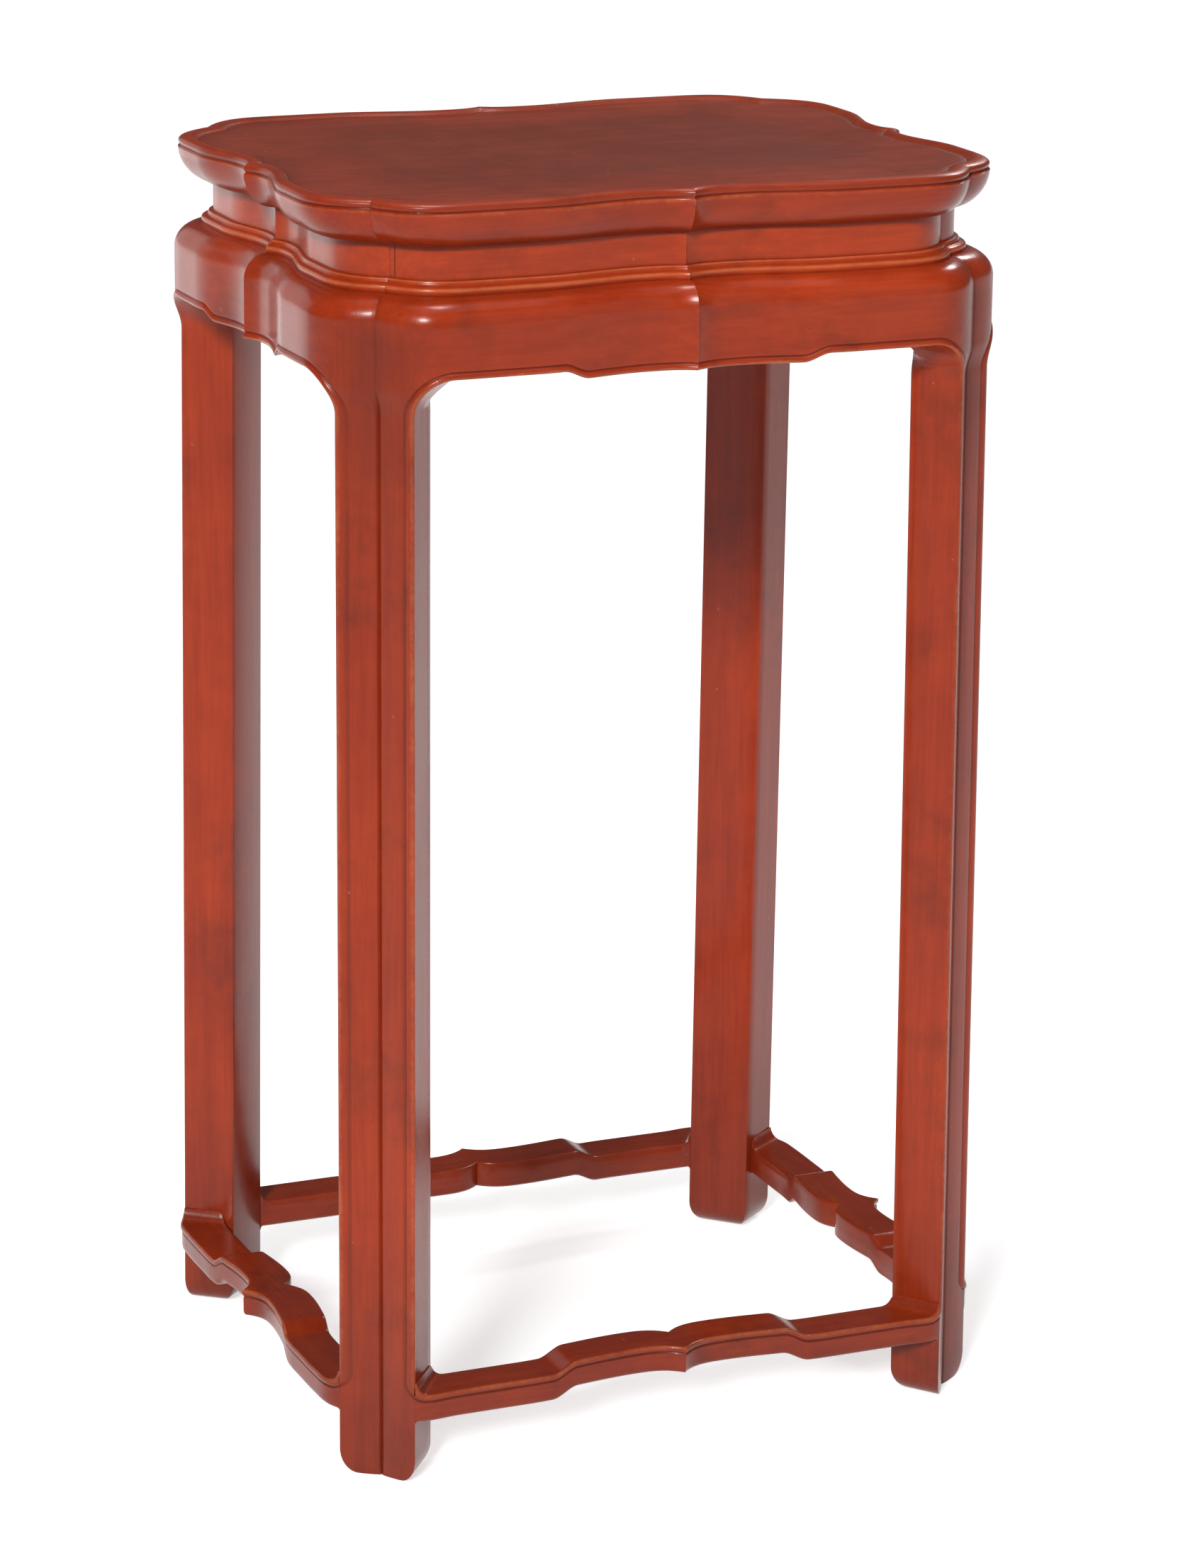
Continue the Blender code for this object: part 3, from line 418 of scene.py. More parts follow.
def solve(test, low, high):
    """Place between two numbers where a rising test turns true."""
    for _ in range(HALVINGS):
        middle = 0.5 * (low + high)
        if test(middle):
            high = middle
        else:
            low = middle
    return high


def smooth_run(points, steps=3):
    """Even run of rows through the rows of a profile."""
    rows = []
    last = len(points) - 1
    for i in range(last):
        near = [points[max(i - 1, 0)], points[i], points[i + 1], points[min(i + 2, last)]]
        for k in range(steps):
            t = k / steps
            rows.append(tuple(0.5 * (2 * b + (c - a) * t + (2 * a - 5 * b + 4 * c - d) * t * t
                                     + (3 * b - a - 3 * c + d) * t ** 3) for a, b, c, d in zip(*near)))
    return rows + [points[-1]]


def bead_row(s, share_of_width):
    """Lift, wear with its painted highlight, and grime of the edge bead at a share of its width from the
    edge.
    """
    rows = BEAD_PROFILE
    if share_of_width >= rows[-1][0]:
        return 0.0, 0.0, 0.0
    for a, b in zip(rows, rows[1:]):
        if share_of_width <= b[0]:
            f = max(0.0, (share_of_width - a[0]) / (b[0] - a[0]))
            return s.bead_rise * mix(a[1], b[1], f), mix(a[2], b[2], f), mix(a[3], b[3], f)


def stand_sizes(context):
    """All sizes of the stand, with the levels and half sizes that follow from them."""
    s = SimpleNamespace()
    for name, group in GROUPS.items():
        for key in group.__annotations__:
            setattr(s, key, getattr(getattr(context.scene, name), key))
    s.z_panel = s.height - s.lip_rise
    s.z_line = s.height - s.lip_face
    s.z_soffit = s.height - s.top_depth
    s.z_ledge = s.z_panel - s.panel_thick
    s.z_collar = s.z_soffit - s.waist_height
    s.z_apron = s.z_collar - s.collar_height
    s.z_shoulder = s.z_apron - s.shoulder_height
    s.z_open = s.z_apron - s.apron_height
    s.z_fillet = s.z_open - s.fillet
    s.fillet_x = s.leg_span + s.fillet
    quarter = s.fillet * (1.0 - math.sqrt(0.5))
    s.z_mitre = s.z_open - quarter
    s.mitre_foot = s.leg_span + quarter
    s.bead_mitre = 0.5 * (s.bead_apron + s.bead_leg)
    s.rail_top = s.rail_under + s.rail_thick
    s.apron_x = 0.5 * s.width - s.lobe_rise
    s.apron_y = 0.5 * s.depth - s.lobe_rise
    s.top_x = s.apron_x - s.top_less_x
    s.top_y = s.apron_y - s.top_less_y
    s.waist_x = s.apron_x - s.waist_in
    s.waist_y = s.apron_y - s.waist_in
    s.rail_x = s.apron_x + s.rail_out_x
    s.rail_y = s.apron_y + s.rail_out_y
    s.open_x = s.apron_x - s.frame_in
    s.open_y = s.apron_y - s.frame_in
    s.recess = s.waist_in + s.waist_thick
    s.apron_shape = (s.lobe_rise, s.valley_rise, s.cusp_rise)
    s.rail_shape = (s.rail_lobe, s.rail_valley, s.rail_cusp)
    return s


def outline(s, span, half, shape, flat_lobe=False):
    """Height of the outline above the notch line, at a distance along the side from the notch."""
    lobe, valley, cusp = shape
    if span < s.lobe_length and not flat_lobe:
        return lobe * (1.0 - (1.0 - span / s.lobe_length) ** s.lobe_power)
    at = 1.0 - span / half
    if at >= s.valley_at:
        return mix(valley, lobe, ease((at - s.valley_at) / (s.crest_at - s.valley_at)))
    return mix(valley, cusp, max(0.0, 1.0 - at / s.valley_at) ** s.cusp_power)


def face_normal(s, span, half, relief):
    """Outward direction of the outline: towards the notch, and out."""
    low = max(0.0, span - STEP)
    slope = relief * (outline(s, span + STEP, half, s.apron_shape) - outline(s, low, half, s.apron_shape))
    slope /= span + STEP - low
    return Vector((slope, 1.0)).normalized()


def to_cusp(start, half, count):
    """Distances from a start to the cusp, closer towards the cusp."""
    return [half - (half - start) * (1.0 - i / count) ** 1.5 for i in range(count + 1)]


def side_spans(s, half, joint=0.0):
    """Distances from the notch to the cusp, closer on the lobe, at a joint line and at the cusp."""
    valley = half * (1.0 - s.valley_at)
    spans = [s.lobe_length * (1.0 - math.cos(math.radians(LOBE_ANGLE * i))) for i in range(LOBE_STATIONS)]
    if joint:
        spans += [joint - JOINT_RIM, joint - JOINT_FLOOR, joint + JOINT_FLOOR, joint + JOINT_RIM]
        spans.sort()
    spans += [mix(s.lobe_length, valley, i / VALLEY_STATIONS) for i in range(VALLEY_STATIONS)]
    return spans + to_cusp(valley, half, CUSP_STATIONS)


def place(side, along, out, z):
    """World point from a side's own directions: along it, out from the centre, and up."""
    x, y = SIDES[side]
    return Vector((along * x + out * y, along * y - out * x, z))


def is_long(side):
    return side in ("front", "back")


def halves(side, half_x, half_y):
    """Half length of a side and its distance from the centre, at the notch."""
    return (half_x, half_y) if is_long(side) else (half_y, half_x)


def both_halves(side, columns):
    """Rings of a whole side from those of the half that ends at its cusp."""
    rings = [[(place(side, -a, o, z), w, g) for a, o, z, w, g in column] for column in columns]
    return rings + [[(place(side, a, o, z), w, g) for a, o, z, w, g in column] for column in columns[-2::-1]]


def lay(verts, ring, wear_and_highlight, grime_and_shade):
    for vert, (co, rubbed_and_highlight, dirt_and_shade) in zip(verts, ring):
        vert.co = co
        vert[wear_and_highlight] = min(1.0, max(0.0, rubbed_and_highlight))
        vert[grime_and_shade] = min(1.0, max(0.0, dirt_and_shade))


def add_body(bm, rings):
    """Closed body: a circle laid on the first ring, extruded from ring to ring, its ends filled."""
    layers = bm.verts.layers.float
    wear_and_highlight = layers.get("wear_and_highlight") or layers.new("wear_and_highlight")
    grime_and_shade = layers.get("grime_and_shade") or layers.new("grime_and_shade")
    ring = bmesh.ops.create_circle(bm, cap_ends=False, segments=len(rings[0]), radius=1.0)["verts"]
    edges = list(dict.fromkeys(e for v in ring for e in v.link_edges))
    first = edges
    lay(ring, rings[0], wear_and_highlight, grime_and_shade)
    for section in rings[1:]:
        order = {v: i for i, v in enumerate(ring)}
        made = bmesh.ops.extrude_edge_only(bm, edges=edges)["geom"]
        fresh = {g for g in made if isinstance(g, bmesh.types.BMVert)}
        edges = [g for g in made if isinstance(g, bmesh.types.BMEdge) and fresh.issuperset(g.verts)]
        ring = [None] * len(order)
        for v in fresh:
            source = next(e.other_vert(v) for e in v.link_edges if e.other_vert(v) in order)
            ring[order[source]] = v
        lay(ring, section, wear_and_highlight, grime_and_shade)
    bmesh.ops.holes_fill(bm, edges=first + edges, sides=0)


def make_piece(name, bodies, finish, cad_node):
    """Piece of the stand from the rings of its bodies, standing for a CAD node."""
    bm = bmesh.new()
    for rings in bodies:
        add_body(bm, rings)
    bmesh.ops.remove_doubles(bm, verts=bm.verts, dist=MERGE)
    bmesh.ops.recalc_face_normals(bm, faces=bm.faces)
    for face in bm.faces:
        face.smooth = True
    for edge in bm.edges:
        edge.smooth = edge.calc_face_angle(math.pi) < CREASE
    obj = new_object(name, bm, finish)
    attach(obj, "root")
    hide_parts(cad_node)


def new_object(name, bm, finish):
    """Object in the scene from a bmesh, which is freed."""
    mesh = bpy.data.meshes.new(name)
    bm.to_mesh(mesh)
    bm.free()
    mesh.materials.append(finish)
    obj = bpy.data.objects.new(name, mesh)
    bpy.context.scene.collection.objects.link(obj)
    return obj


def swept_side(s, side, rows, joint=0.0):
    """Rings along one side, mitred at both notches.  A row is half x, half y, relief, z, wear with painted
    highlight, grime with painted shade.
    """
    runs = []
    for half_x, half_y, *_ in rows:
        half, base = halves(side, half_x, half_y)
        runs.append((half, base, side_spans(s, half, joint)))
    count = len(runs[0][2])
    columns = []
    for k in range(count):
        column = []
        for (_, _, relief, z, wear_and_highlight, grime_and_shade), (half, base, spans) in zip(rows, runs):
            span = spans[k]
            out = base + relief * outline(s, span, half, s.apron_shape)
            if k == 0:
                grime_and_shade = max(grime_and_shade, MITRE_GRIME)
            # Painted highlight with wear along the cusp
            if k == count - 1:
                wear_and_highlight = max(wear_and_highlight, CUSP_WEAR_AND_HIGHLIGHT)
            if joint and abs(span - joint) < 0.5 * (JOINT_RIM + JOINT_FLOOR):
                out -= JOINT_DEPTH
                grime_and_shade = 1.0
            trim = SEAM if k == 0 else 0.0
            column.append((half - span - trim, out, z, wear_and_highlight, grime_and_shade))
        columns.append(column)
    return both_halves(side, columns)


def lip_row(s, inset, z, wear_and_highlight, grime_and_shade):
    return (s.top_x - inset, s.top_y - inset, 1.0 - inset / s.relief_fade, z, wear_and_highlight, grime_and_shade)


def top_rows(s):
    """Section of a top frame member: lip, fine line, ovolo, soffit, and the panel's rebate."""
    rows = []
    for across, drop, wear_and_highlight, grime_and_shade in smooth_run(LIP_PROFILE):
        rows.append(lip_row(s, across * s.lip_width, s.height - drop * s.lip_face, wear_and_highlight, grime_and_shade))
    for past, below in LINE_ROWS:
        rows.append(lip_row(s, s.line_depth + past, s.z_line - below, 0.0, LINE_GRIME))
    foot_x = s.waist_x + s.ovolo_overhang
    foot_y = s.waist_y + s.ovolo_overhang
    for degrees in OVOLO_ANGLES:
        f = 1.0 - math.cos(math.radians(degrees))
        z = s.z_line - (s.z_line - s.z_soffit) * math.sin(math.radians(degrees))
        rim = max(0.0, RIM_ANGLE - degrees) * RIM_PER_DEGREE
        # Painted highlight with wear along the ovolo's rim
        wear_and_highlight = RIM_WEAR_AND_HIGHLIGHT if degrees < RIM_HIGHLIGHT_ANGLE else 0.0
        # Painted shade on the ovolo's underside, growing as it turns down
        grime_and_shade = ease((degrees - OVOLO_SHADE_ANGLE) / OVOLO_SHADE_GROWTH)
        rows.append((mix(s.top_x, foot_x, f) - rim, mix(s.top_y, foot_y, f) - rim,
                     mix(1.0, s.waist_relief, f), z, wear_and_highlight, grime_and_shade))
    rows.append((s.open_x, s.open_y, 0.0, s.z_soffit, 0.0, INSIDE_GRIME))
    rows.append((s.open_x, s.open_y, 0.0, s.z_ledge, 0.0, INSIDE_GRIME))
    rows.append(lip_row(s, s.lip_width, s.z_ledge, 0.0, 1.0))
    rows.append(lip_row(s, s.lip_width, s.z_panel - LIP_FOOT, 0.0, 1.0))
    return rows


def panel_rings(s):
    """Rings of the panel: underside, edge, and the slightly eased top, browner at its middle."""
    face = [(inset, s.z_panel - drop, grime_and_shade) for inset, drop, grime_and_shade in PANEL_FACE]
    rings = []
    for inset, z, grime_and_shade in [(0.0, s.z_ledge + SEAM, 0.0)] + face:
        half_x, half_y, relief, *_ = lip_row(s, s.lip_width + SEAM + inset, z, 0.0, grime_and_shade)
        ring = []
        for side in SIDES:
            half, base = halves(side, half_x, half_y)
            spans = side_spans(s, half)
            for sign, span in [(-1, v) for v in spans] + [(1, v) for v in spans[-2:0:-1]]:
                out = base + relief * outline(s, span, half, s.apron_shape)
                ring.append((place(side, sign * (half - span), out, z), 0.0, grime_and_shade))
        rings.append(ring)
    return rings


def waist_rows(s):
    """Section of a waist board, from the top of its face."""
    low = s.z_collar + SEAM
    high = s.z_soffit - SEAM
    face = (s.waist_x, s.waist_y, s.waist_relief)
    back = (s.waist_x - s.waist_thick, s.waist_y - s.waist_thick, s.waist_relief)
    rows = [(*face, mix(high, low, f), 0.0, grime_and_shade) for f, grime_and_shade in WAIST_FACE]
    return rows + [(*back, low, 0.0, 0.0), (*back, high, 0.0, 0.0)]


def collar_rows(s):
    """Section of a collar moulding, from the top of its face."""
    rows = []
    for f, drop, wear_and_highlight, grime_and_shade in smooth_run(COLLAR_PROFILE):
        inset = mix(s.waist_in, s.collar_in, f)
        relief = mix(s.waist_relief, s.collar_relief, f)
        z = mix(s.z_collar, s.z_apron + SEAM, drop)
        rows.append((s.apron_x - inset, s.apron_y - inset, relief, z, wear_and_highlight, grime_and_shade))
    back = (s.apron_x - s.recess, s.apron_y - s.recess, s.waist_relief)
    return rows + [(*back, s.z_apron + SEAM, 0.0, 0.0), (*back, s.z_collar, 0.0, 0.0)]


def spread(s, span, relief=1.0):
    """Distance of an outline point from the corner diagonal, times the square root of two."""
    return span + relief * outline(s, span, 1.0, s.apron_shape)


def mitre_share(s, z):
    """Share of the way down the flat mitre of leg and apron."""
    return min(1.0, (s.z_apron - z) / (s.z_apron - s.z_mitre))


def mitre_span(s, z, relief):
    """Distance from the notch to that mitre, at a height."""
    target = mix(spread(s, s.mitre_top), spread(s, s.mitre_foot), mitre_share(s, z))
    return solve(lambda span: spread(s, span, relief) > target, 0.0, s.lobe_length)


def shoulder(s, degrees):
    """Inset, relief and height on the apron's rounded shoulder, from the collar outwards."""
    f = math.sin(math.radians(degrees))
    z = s.z_apron - s.shoulder_height * (1.0 - math.cos(math.radians(degrees)))
    return s.collar_in * (1.0 - f), mix(s.collar_relief, 1.0, f), z


def shoulder_at(s, z):
    """Inset and relief of the shoulder, or of the face below it, at a height."""
    drop = min(1.0, max(0.0, (s.z_apron - z) / s.shoulder_height))
    return shoulder(s, math.degrees(math.acos(1.0 - drop)))[:2]


def edge_height(s, span, half, gap):
    """Height of the line that keeps a gap above the apron's lower edge."""
    if span < s.fillet_x:
        return s.z_fillet + math.sqrt(max(0.0, (s.fillet + gap) ** 2 - (s.fillet_x - span) ** 2))
    return s.z_open - s.apron_drop * (1.0 - step_share(s, 1.0 - span / half)) + gap


def step_share(s, at):
    """How much of the step in an edge is done, at a share of the half side from the cusp."""
    return ease((at - s.step_at + s.step_half) / (2.0 * s.step_half))


def patina(s, span, z):
    """Brown that stays round the notch, from the collar to the top of the leg."""
    along = PATINA * math.exp(-span / PATINA_REACH)
    return along * ease((z - s.z_fillet + PATINA_DOWN) / PATINA_DOWN) * ease((s.z_apron - z) / PATINA_UP)


def apron_spans(s, half, start):
    """Distances from the notch along an apron or a rail, from a start to the cusp."""
    near = half * (1.0 - 0.5 * s.valley_at)
    run = [mix(start, near, i / RUN_STATIONS) for i in range(1, RUN_STATIONS + 1)]
    return run + to_cusp(near, half, RUN_CUSP_STATIONS)[1:]


def apron_rows(s):
    """Section of an apron: kind of row, inset, relief, its height or share, lift, wear with painted
    highlight, grime with painted shade.
    """
    rows = []
    for degrees in range(0, 91, 6):
        # Painted shade and grime under the collar on the top of the shoulder
        shade = TOP_SHADE * max(0.0, 1.0 - degrees / SHADE_ANGLE)
        rows.append(("level", *shoulder(s, degrees), 0.0, 0.0, shade))
    rows += [("face", 0.0, 1.0, f, 0.0, 0.0, 0.0) for f in APRON_FACE]
    rows += [("edge", 0.0, 1.0, q, *bead_row(s, q)) for q in EDGE_STEPS]
    under = (*UNDER_EDGE, (s.apron_thick - BACK_ROW, 0.0), (s.apron_thick, 0.0))
    rows += [("edge", inset, 1.0, 0.0, 0.0, wear_and_highlight, 0.0) for inset, wear_and_highlight in under]
    return rows + [("level", s.apron_thick, 1.0, s.z_apron, 0.0, 0.0, 0.0)]


def apron_starts(s, half, rows):
    """Distance from the notch at which each row of an apron meets the mitre."""
    top, foot = spread(s, s.mitre_top), spread(s, s.mitre_foot)

    def mitre_height(span):
        return mix(s.z_apron, s.z_mitre, (spread(s, span) - top) / (foot - top))

    def edge_start(gap):
        return solve(lambda v: edge_height(s, v, half, gap) > mitre_height(v), s.mitre_top, s.mitre_foot)

    bead_gap = EDGE_STEPS[0] * s.bead_mitre
    bead_z = edge_height(s, edge_start(bead_gap), half, bead_gap)
    starts = []
    for kind, _, relief, value, *_ in rows:
        if kind == "edge":
            starts.append(edge_start(value * s.bead_mitre))
        else:
            z = value if kind == "level" else mix(s.z_shoulder, bead_z, value)
            starts.append(mitre_span(s, z, relief))
    return starts


def apron_rings(s, side):
    """Rings of an apron: rounded shoulder, face, edge bead, underside and back."""
    half, base = halves(side, s.apron_x, s.apron_y)
    rows = apron_rows(s)
    starts = apron_starts(s, half, rows)
    fan_end = APRON_FAN_END * s.lobe_length
    runs = [apron_spans(s, half - row[1], fan_end) for row in rows]
    bead_first = next(i for i, row in enumerate(rows) if row[0] == "edge")
    sections = [([mix(start, fan_end, f) for start in starts], mix(s.bead_mitre, s.bead_apron, ease(f)))
                for f in APRON_FAN]
    sections += [(spans, s.bead_apron) for spans in zip(*runs)]
    columns = []
    for k, (spans, width) in enumerate(sections):
        bead_top = edge_height(s, spans[bead_first], half, EDGE_STEPS[0] * width)
        column = []
        for (kind, inset, relief, value, lift, wear_and_highlight, grime_and_shade), span in zip(rows, spans):
            size = half - inset
            if kind == "level":
                z = value
            elif kind == "face":
                z = mix(s.z_shoulder, bead_top, value)
            else:
                z = edge_height(s, span, size, value * width)
            out = base - inset + relief * outline(s, span, size, s.apron_shape)
            normal = face_normal(s, span, size, relief)
            trim = SEAM if k == 0 else 0.0
            # Painted highlight with wear along the apron's cusp
            if k == len(sections) - 1 and inset < UNDER_EDGE[1][0]:
                wear_and_highlight = max(wear_and_highlight, FACE_CUSP_WEAR_AND_HIGHLIGHT)
            column.append((size - span - trim + lift * normal.x, out + lift * normal.y, z, wear_and_highlight,
                           max(grime_and_shade, patina(s, span, z))))
        columns.append(column)
    return both_halves(side, columns)


def into_apron(s, z):
    """How far a leg's section has turned into the apron's, at a height."""
    return ease((z - s.z_fillet) / (s.z_mitre - s.z_fillet))


def leg_notch(s, z):
    """Plan place of the leg's notch at a height, easing into the apron's at the top."""
    lean = max(0.0, 1.0 - z / s.z_fillet)
    inset = s.leg_in * (1.0 - into_apron(s, z))
    return Vector((s.apron_x - inset + s.splay_x * lean, s.apron_y + s.splay_y * lean))


def diagonal(notch, depth, across):
    """Point a depth behind the notch along the corner diagonal and a distance across it."""
    step = math.sqrt(0.5)
    return Vector((notch.x - (depth + across) * step, notch.y - (depth - across) * step))


def face_point(s, notch, span, relief, inset):
    """Point of the lobed face on the long side's part of a corner."""
    rise = relief * outline(s, span, 1.0, s.apron_shape)
    return Vector((notch.x - inset - span, notch.y - inset + rise))


def leg_face(s, notch, span, reach, z):
    """Point of a leg's outer face: two swelling flats and a valley, easing into the apron's outline."""
    inset, relief = shoulder_at(s, z)
    p = face_point(s, notch, span, relief, inset)
    below = 1.0 - into_apron(s, z)
    if below > 0.0:
        valley = notch - Vector((s.leg_valley, s.leg_valley))
        run = face_point(s, notch, reach, relief, inset) - valley
        at = span / reach
        swell = Vector((run.y, -run.x)).normalized() * (s.leg_bulge * 4.0 * at * (1.0 - at))
        p = p.lerp(valley + run * at + swell, below)
    groove = s.valley_line * max(0.0, 1.0 - span / s.valley_half) * mix(GROOVE_AT_TOP, 1.0, below)
    return p - Vector((groove, groove))


def leg_line(s, z, gap):
    """Distance from the notch of the line that keeps a gap from the leg's edge, at a height."""
    if z <= s.z_fillet:
        return s.leg_span - gap
    return s.fillet_x - math.sqrt(max(0.0, (s.fillet + gap) ** 2 - (z - s.z_fillet) ** 2))


def edge_gap(s, span, z):
    """Distance of a point on the leg's face from its beaded edge, which turns onto the base rail."""
    turn_z = s.rail_top + s.turn
    if z < turn_z:
        return math.hypot(s.leg_span + s.turn - span, turn_z - z) - s.turn
    if z > s.z_fillet:
        return math.hypot(s.fillet_x - span, z - s.z_fillet) - s.fillet
    return s.leg_span - span


def bead_width(s, z):
    """Width of the leg's bead at a height."""
    if z > s.z_fillet:
        return mix(s.bead_leg, s.bead_mitre, into_apron(s, z))
    return mix(s.bead_rail, s.bead_leg, ease((z - s.rail_top) / BEAD_BLEND))


def leg_outside(s, z, notch, lines, width):
    """One lobe of a leg's section from the notch to its beaded edge: points, wear with painted highlight,
    grime with painted shade.
    """
    # Painted shade and grime under the collar at the top of the leg
    shade = TOP_SHADE * max(0.0, 1.0 - (s.z_apron - z) / SHADE_FALL)
    high = ease((z - s.z_fillet + LEG_FADE) / LEG_FADE)
    points = []
    for span in [lines[0] * f for f in INNER_STEPS] + lines:
        lift, wear_and_highlight, grime_and_shade = bead_row(s, edge_gap(s, span, z) / width)
        p = leg_face(s, notch, span, lines[-1], z)
        if lift:
            ahead = leg_face(s, notch, span + STEP, lines[-1], z) - p
            p = p + Vector((ahead.y, -ahead.x)).normalized() * lift
        if z < s.rail_under:
            wear_and_highlight, grime_and_shade = 0.0, 0.0
        # Painted shade with grime in the leg's valley crease
        crease = VALLEY_SHADE_AND_GRIME * max(0.0, 1.0 - span / s.valley_half)
        dirt_and_shade = max(grime_and_shade * mix(LEG_GRIME, 1.0, high), shade, crease, patina(s, span, z))
        points.append((p, wear_and_highlight * mix(LEG_WEAR_AND_HIGHLIGHT, 1.0, high), dirt_and_shade))
    return points


def leg_inside(s, z, notch, reach, head):
    """Cheek of a leg's section and half its back, or its head behind the apron: points, wear, grime."""
    inset, relief = shoulder_at(s, z)
    edge = face_point(s, notch, reach, relief, inset)
    back = diagonal(notch, s.leg_depth, s.leg_back_half)
    middle = edge.lerp(back, CHEEK_MIDDLE)
    if z > s.z_fillet:
        behind_at = [face_point(s, notch, span, 1.0, s.apron_thick + SEAM)
                     for span in (reach, s.mitre_top, s.mitre_foot)]
        behind = behind_at[1].lerp(behind_at[2], mitre_share(s, z)) if z > s.z_mitre else behind_at[0]
        middle = middle.lerp(behind, into_apron(s, z))
    points = [edge.lerp(middle, f) for f in CHEEK_STEPS]
    if head:
        front = diagonal(notch, s.head_front, s.head_half)
        rear = diagonal(notch, s.head_depth, s.head_half)
        centre = diagonal(notch, s.head_depth, 0.0)
        points += [front, front.lerp(rear, 0.5), rear.lerp(front, 0.04), rear.lerp(centre, 0.06)]
    else:
        centre = diagonal(notch, s.leg_depth, 0.0)
        points += [middle.lerp(back, 0.5), middle.lerp(back, 0.92),
                   back.lerp(middle, 0.02).lerp(centre, 0.018), back.lerp(centre, 0.09)]
    return [(p, wear_and_highlight, 0.0) for p, wear_and_highlight in zip(points, INSIDE_WEAR)]


def leg_ring(s, z, head=False):
    """Leg section at a height: two beaded lobes outside, cheeks, and the back."""
    notch = leg_notch(s, z)
    width = bead_width(s, z)
    lines = [leg_line(s, z, q * width) for q in EDGE_STEPS]
    if z > s.z_mitre:
        limit = mitre_span(s, z, shoulder_at(s, z)[1])
        lines = [min(v, limit) for v in lines]
    half_ring = leg_outside(s, z, notch, lines, width) + leg_inside(s, z, notch, lines[-1], head)
    short = [(Vector((notch.x + p.y - notch.y, notch.y + p.x - notch.x)), w, g) for p, w, g in half_ring[1:]]
    return [(Vector((p.x, p.y, z)), w, g) for p, w, g in half_ring + short[::-1]]


def foot_ring(s, degrees):
    """Leg section drawn in round the bottom of the foot."""
    ring = leg_ring(s, s.foot_round * (1.0 - math.cos(math.radians(degrees))))
    centre = sum((p for p, _, _ in ring), Vector()) / len(ring)
    tuck = s.foot_tuck * (1.0 - math.sin(math.radians(degrees)))
    reach = max((p - centre).length for p, _, _ in ring)
    worn_and_highlight = FOOT_WEAR * (1.0 - degrees / 90.0)
    return [(p.lerp(centre, tuck / reach), max(w, worn_and_highlight), g) for p, w, g in ring]


def leg_rings(s):
    """Rings of a leg in the positive quarter, close together at the rail and in the rounds."""
    low, high = s.rail_under - BELOW_RAIL, s.rail_top + s.turn + ABOVE_TURN
    head_base = s.z_mitre + HEAD_ABOVE
    levels = [mix(s.foot_round, low, f) for f in (0.3, 0.6)] + [low]
    for start, end, count in ((low, high, 60), (high, s.z_fillet, 22), (s.z_fillet, s.z_mitre, 18),
                              (s.z_mitre, head_base, 9)):
        levels += [mix(start, end, i / count) for i in range(1, count + 1)]
    head_levels = [mix(head_base + HEAD_STEP, s.z_shoulder, i / 20.0) for i in range(20)]
    head_levels += [shoulder(s, degrees)[2] for degrees in range(90, -1, -6)]
    return ([foot_ring(s, degrees) for degrees in FOOT_ANGLES] + [leg_ring(s, z) for z in levels]
            + [leg_ring(s, z, head=True) for z in head_levels])


def post_rings(s):
    """Rings of the post on a leg's head."""
    notch = leg_notch(s, s.z_apron)
    front, rear = s.recess * math.sqrt(2.0) + POST_CLEAR, s.head_depth - POST_CLEAR
    corners = [diagonal(notch, depth, across) for depth, across in (
        (front, -s.post_half), (front, s.post_half), (rear, s.post_half), (rear, -s.post_half))]
    levels = (s.z_apron - POST_SINK, s.z_soffit - SEAM)
    return [[(Vector((p.x, p.y, z)), 0.0, POST_GRIME) for p in corners] for z in levels]


def rail_rows():
    """Section of a base rail: share across, lift, level that it keeps to, distance from it, wear with
    painted highlight, grime.
    """
    rows = [(across, 0.0, "low", *rest) for across, *rest in RAIL_LOW]
    rows += [(0.0, lift, "bead", q, wear_and_highlight, grime_and_shade) for q, lift, wear_and_highlight, grime_and_shade in reversed(BEAD_PROFILE[1:])]
    rows += [(across, 0.0, "high", *rest) for across, *rest in RAIL_TOP]
    return rows + [(across, 0.0, "low", *rest) for across, *rest in RAIL_INSIDE]


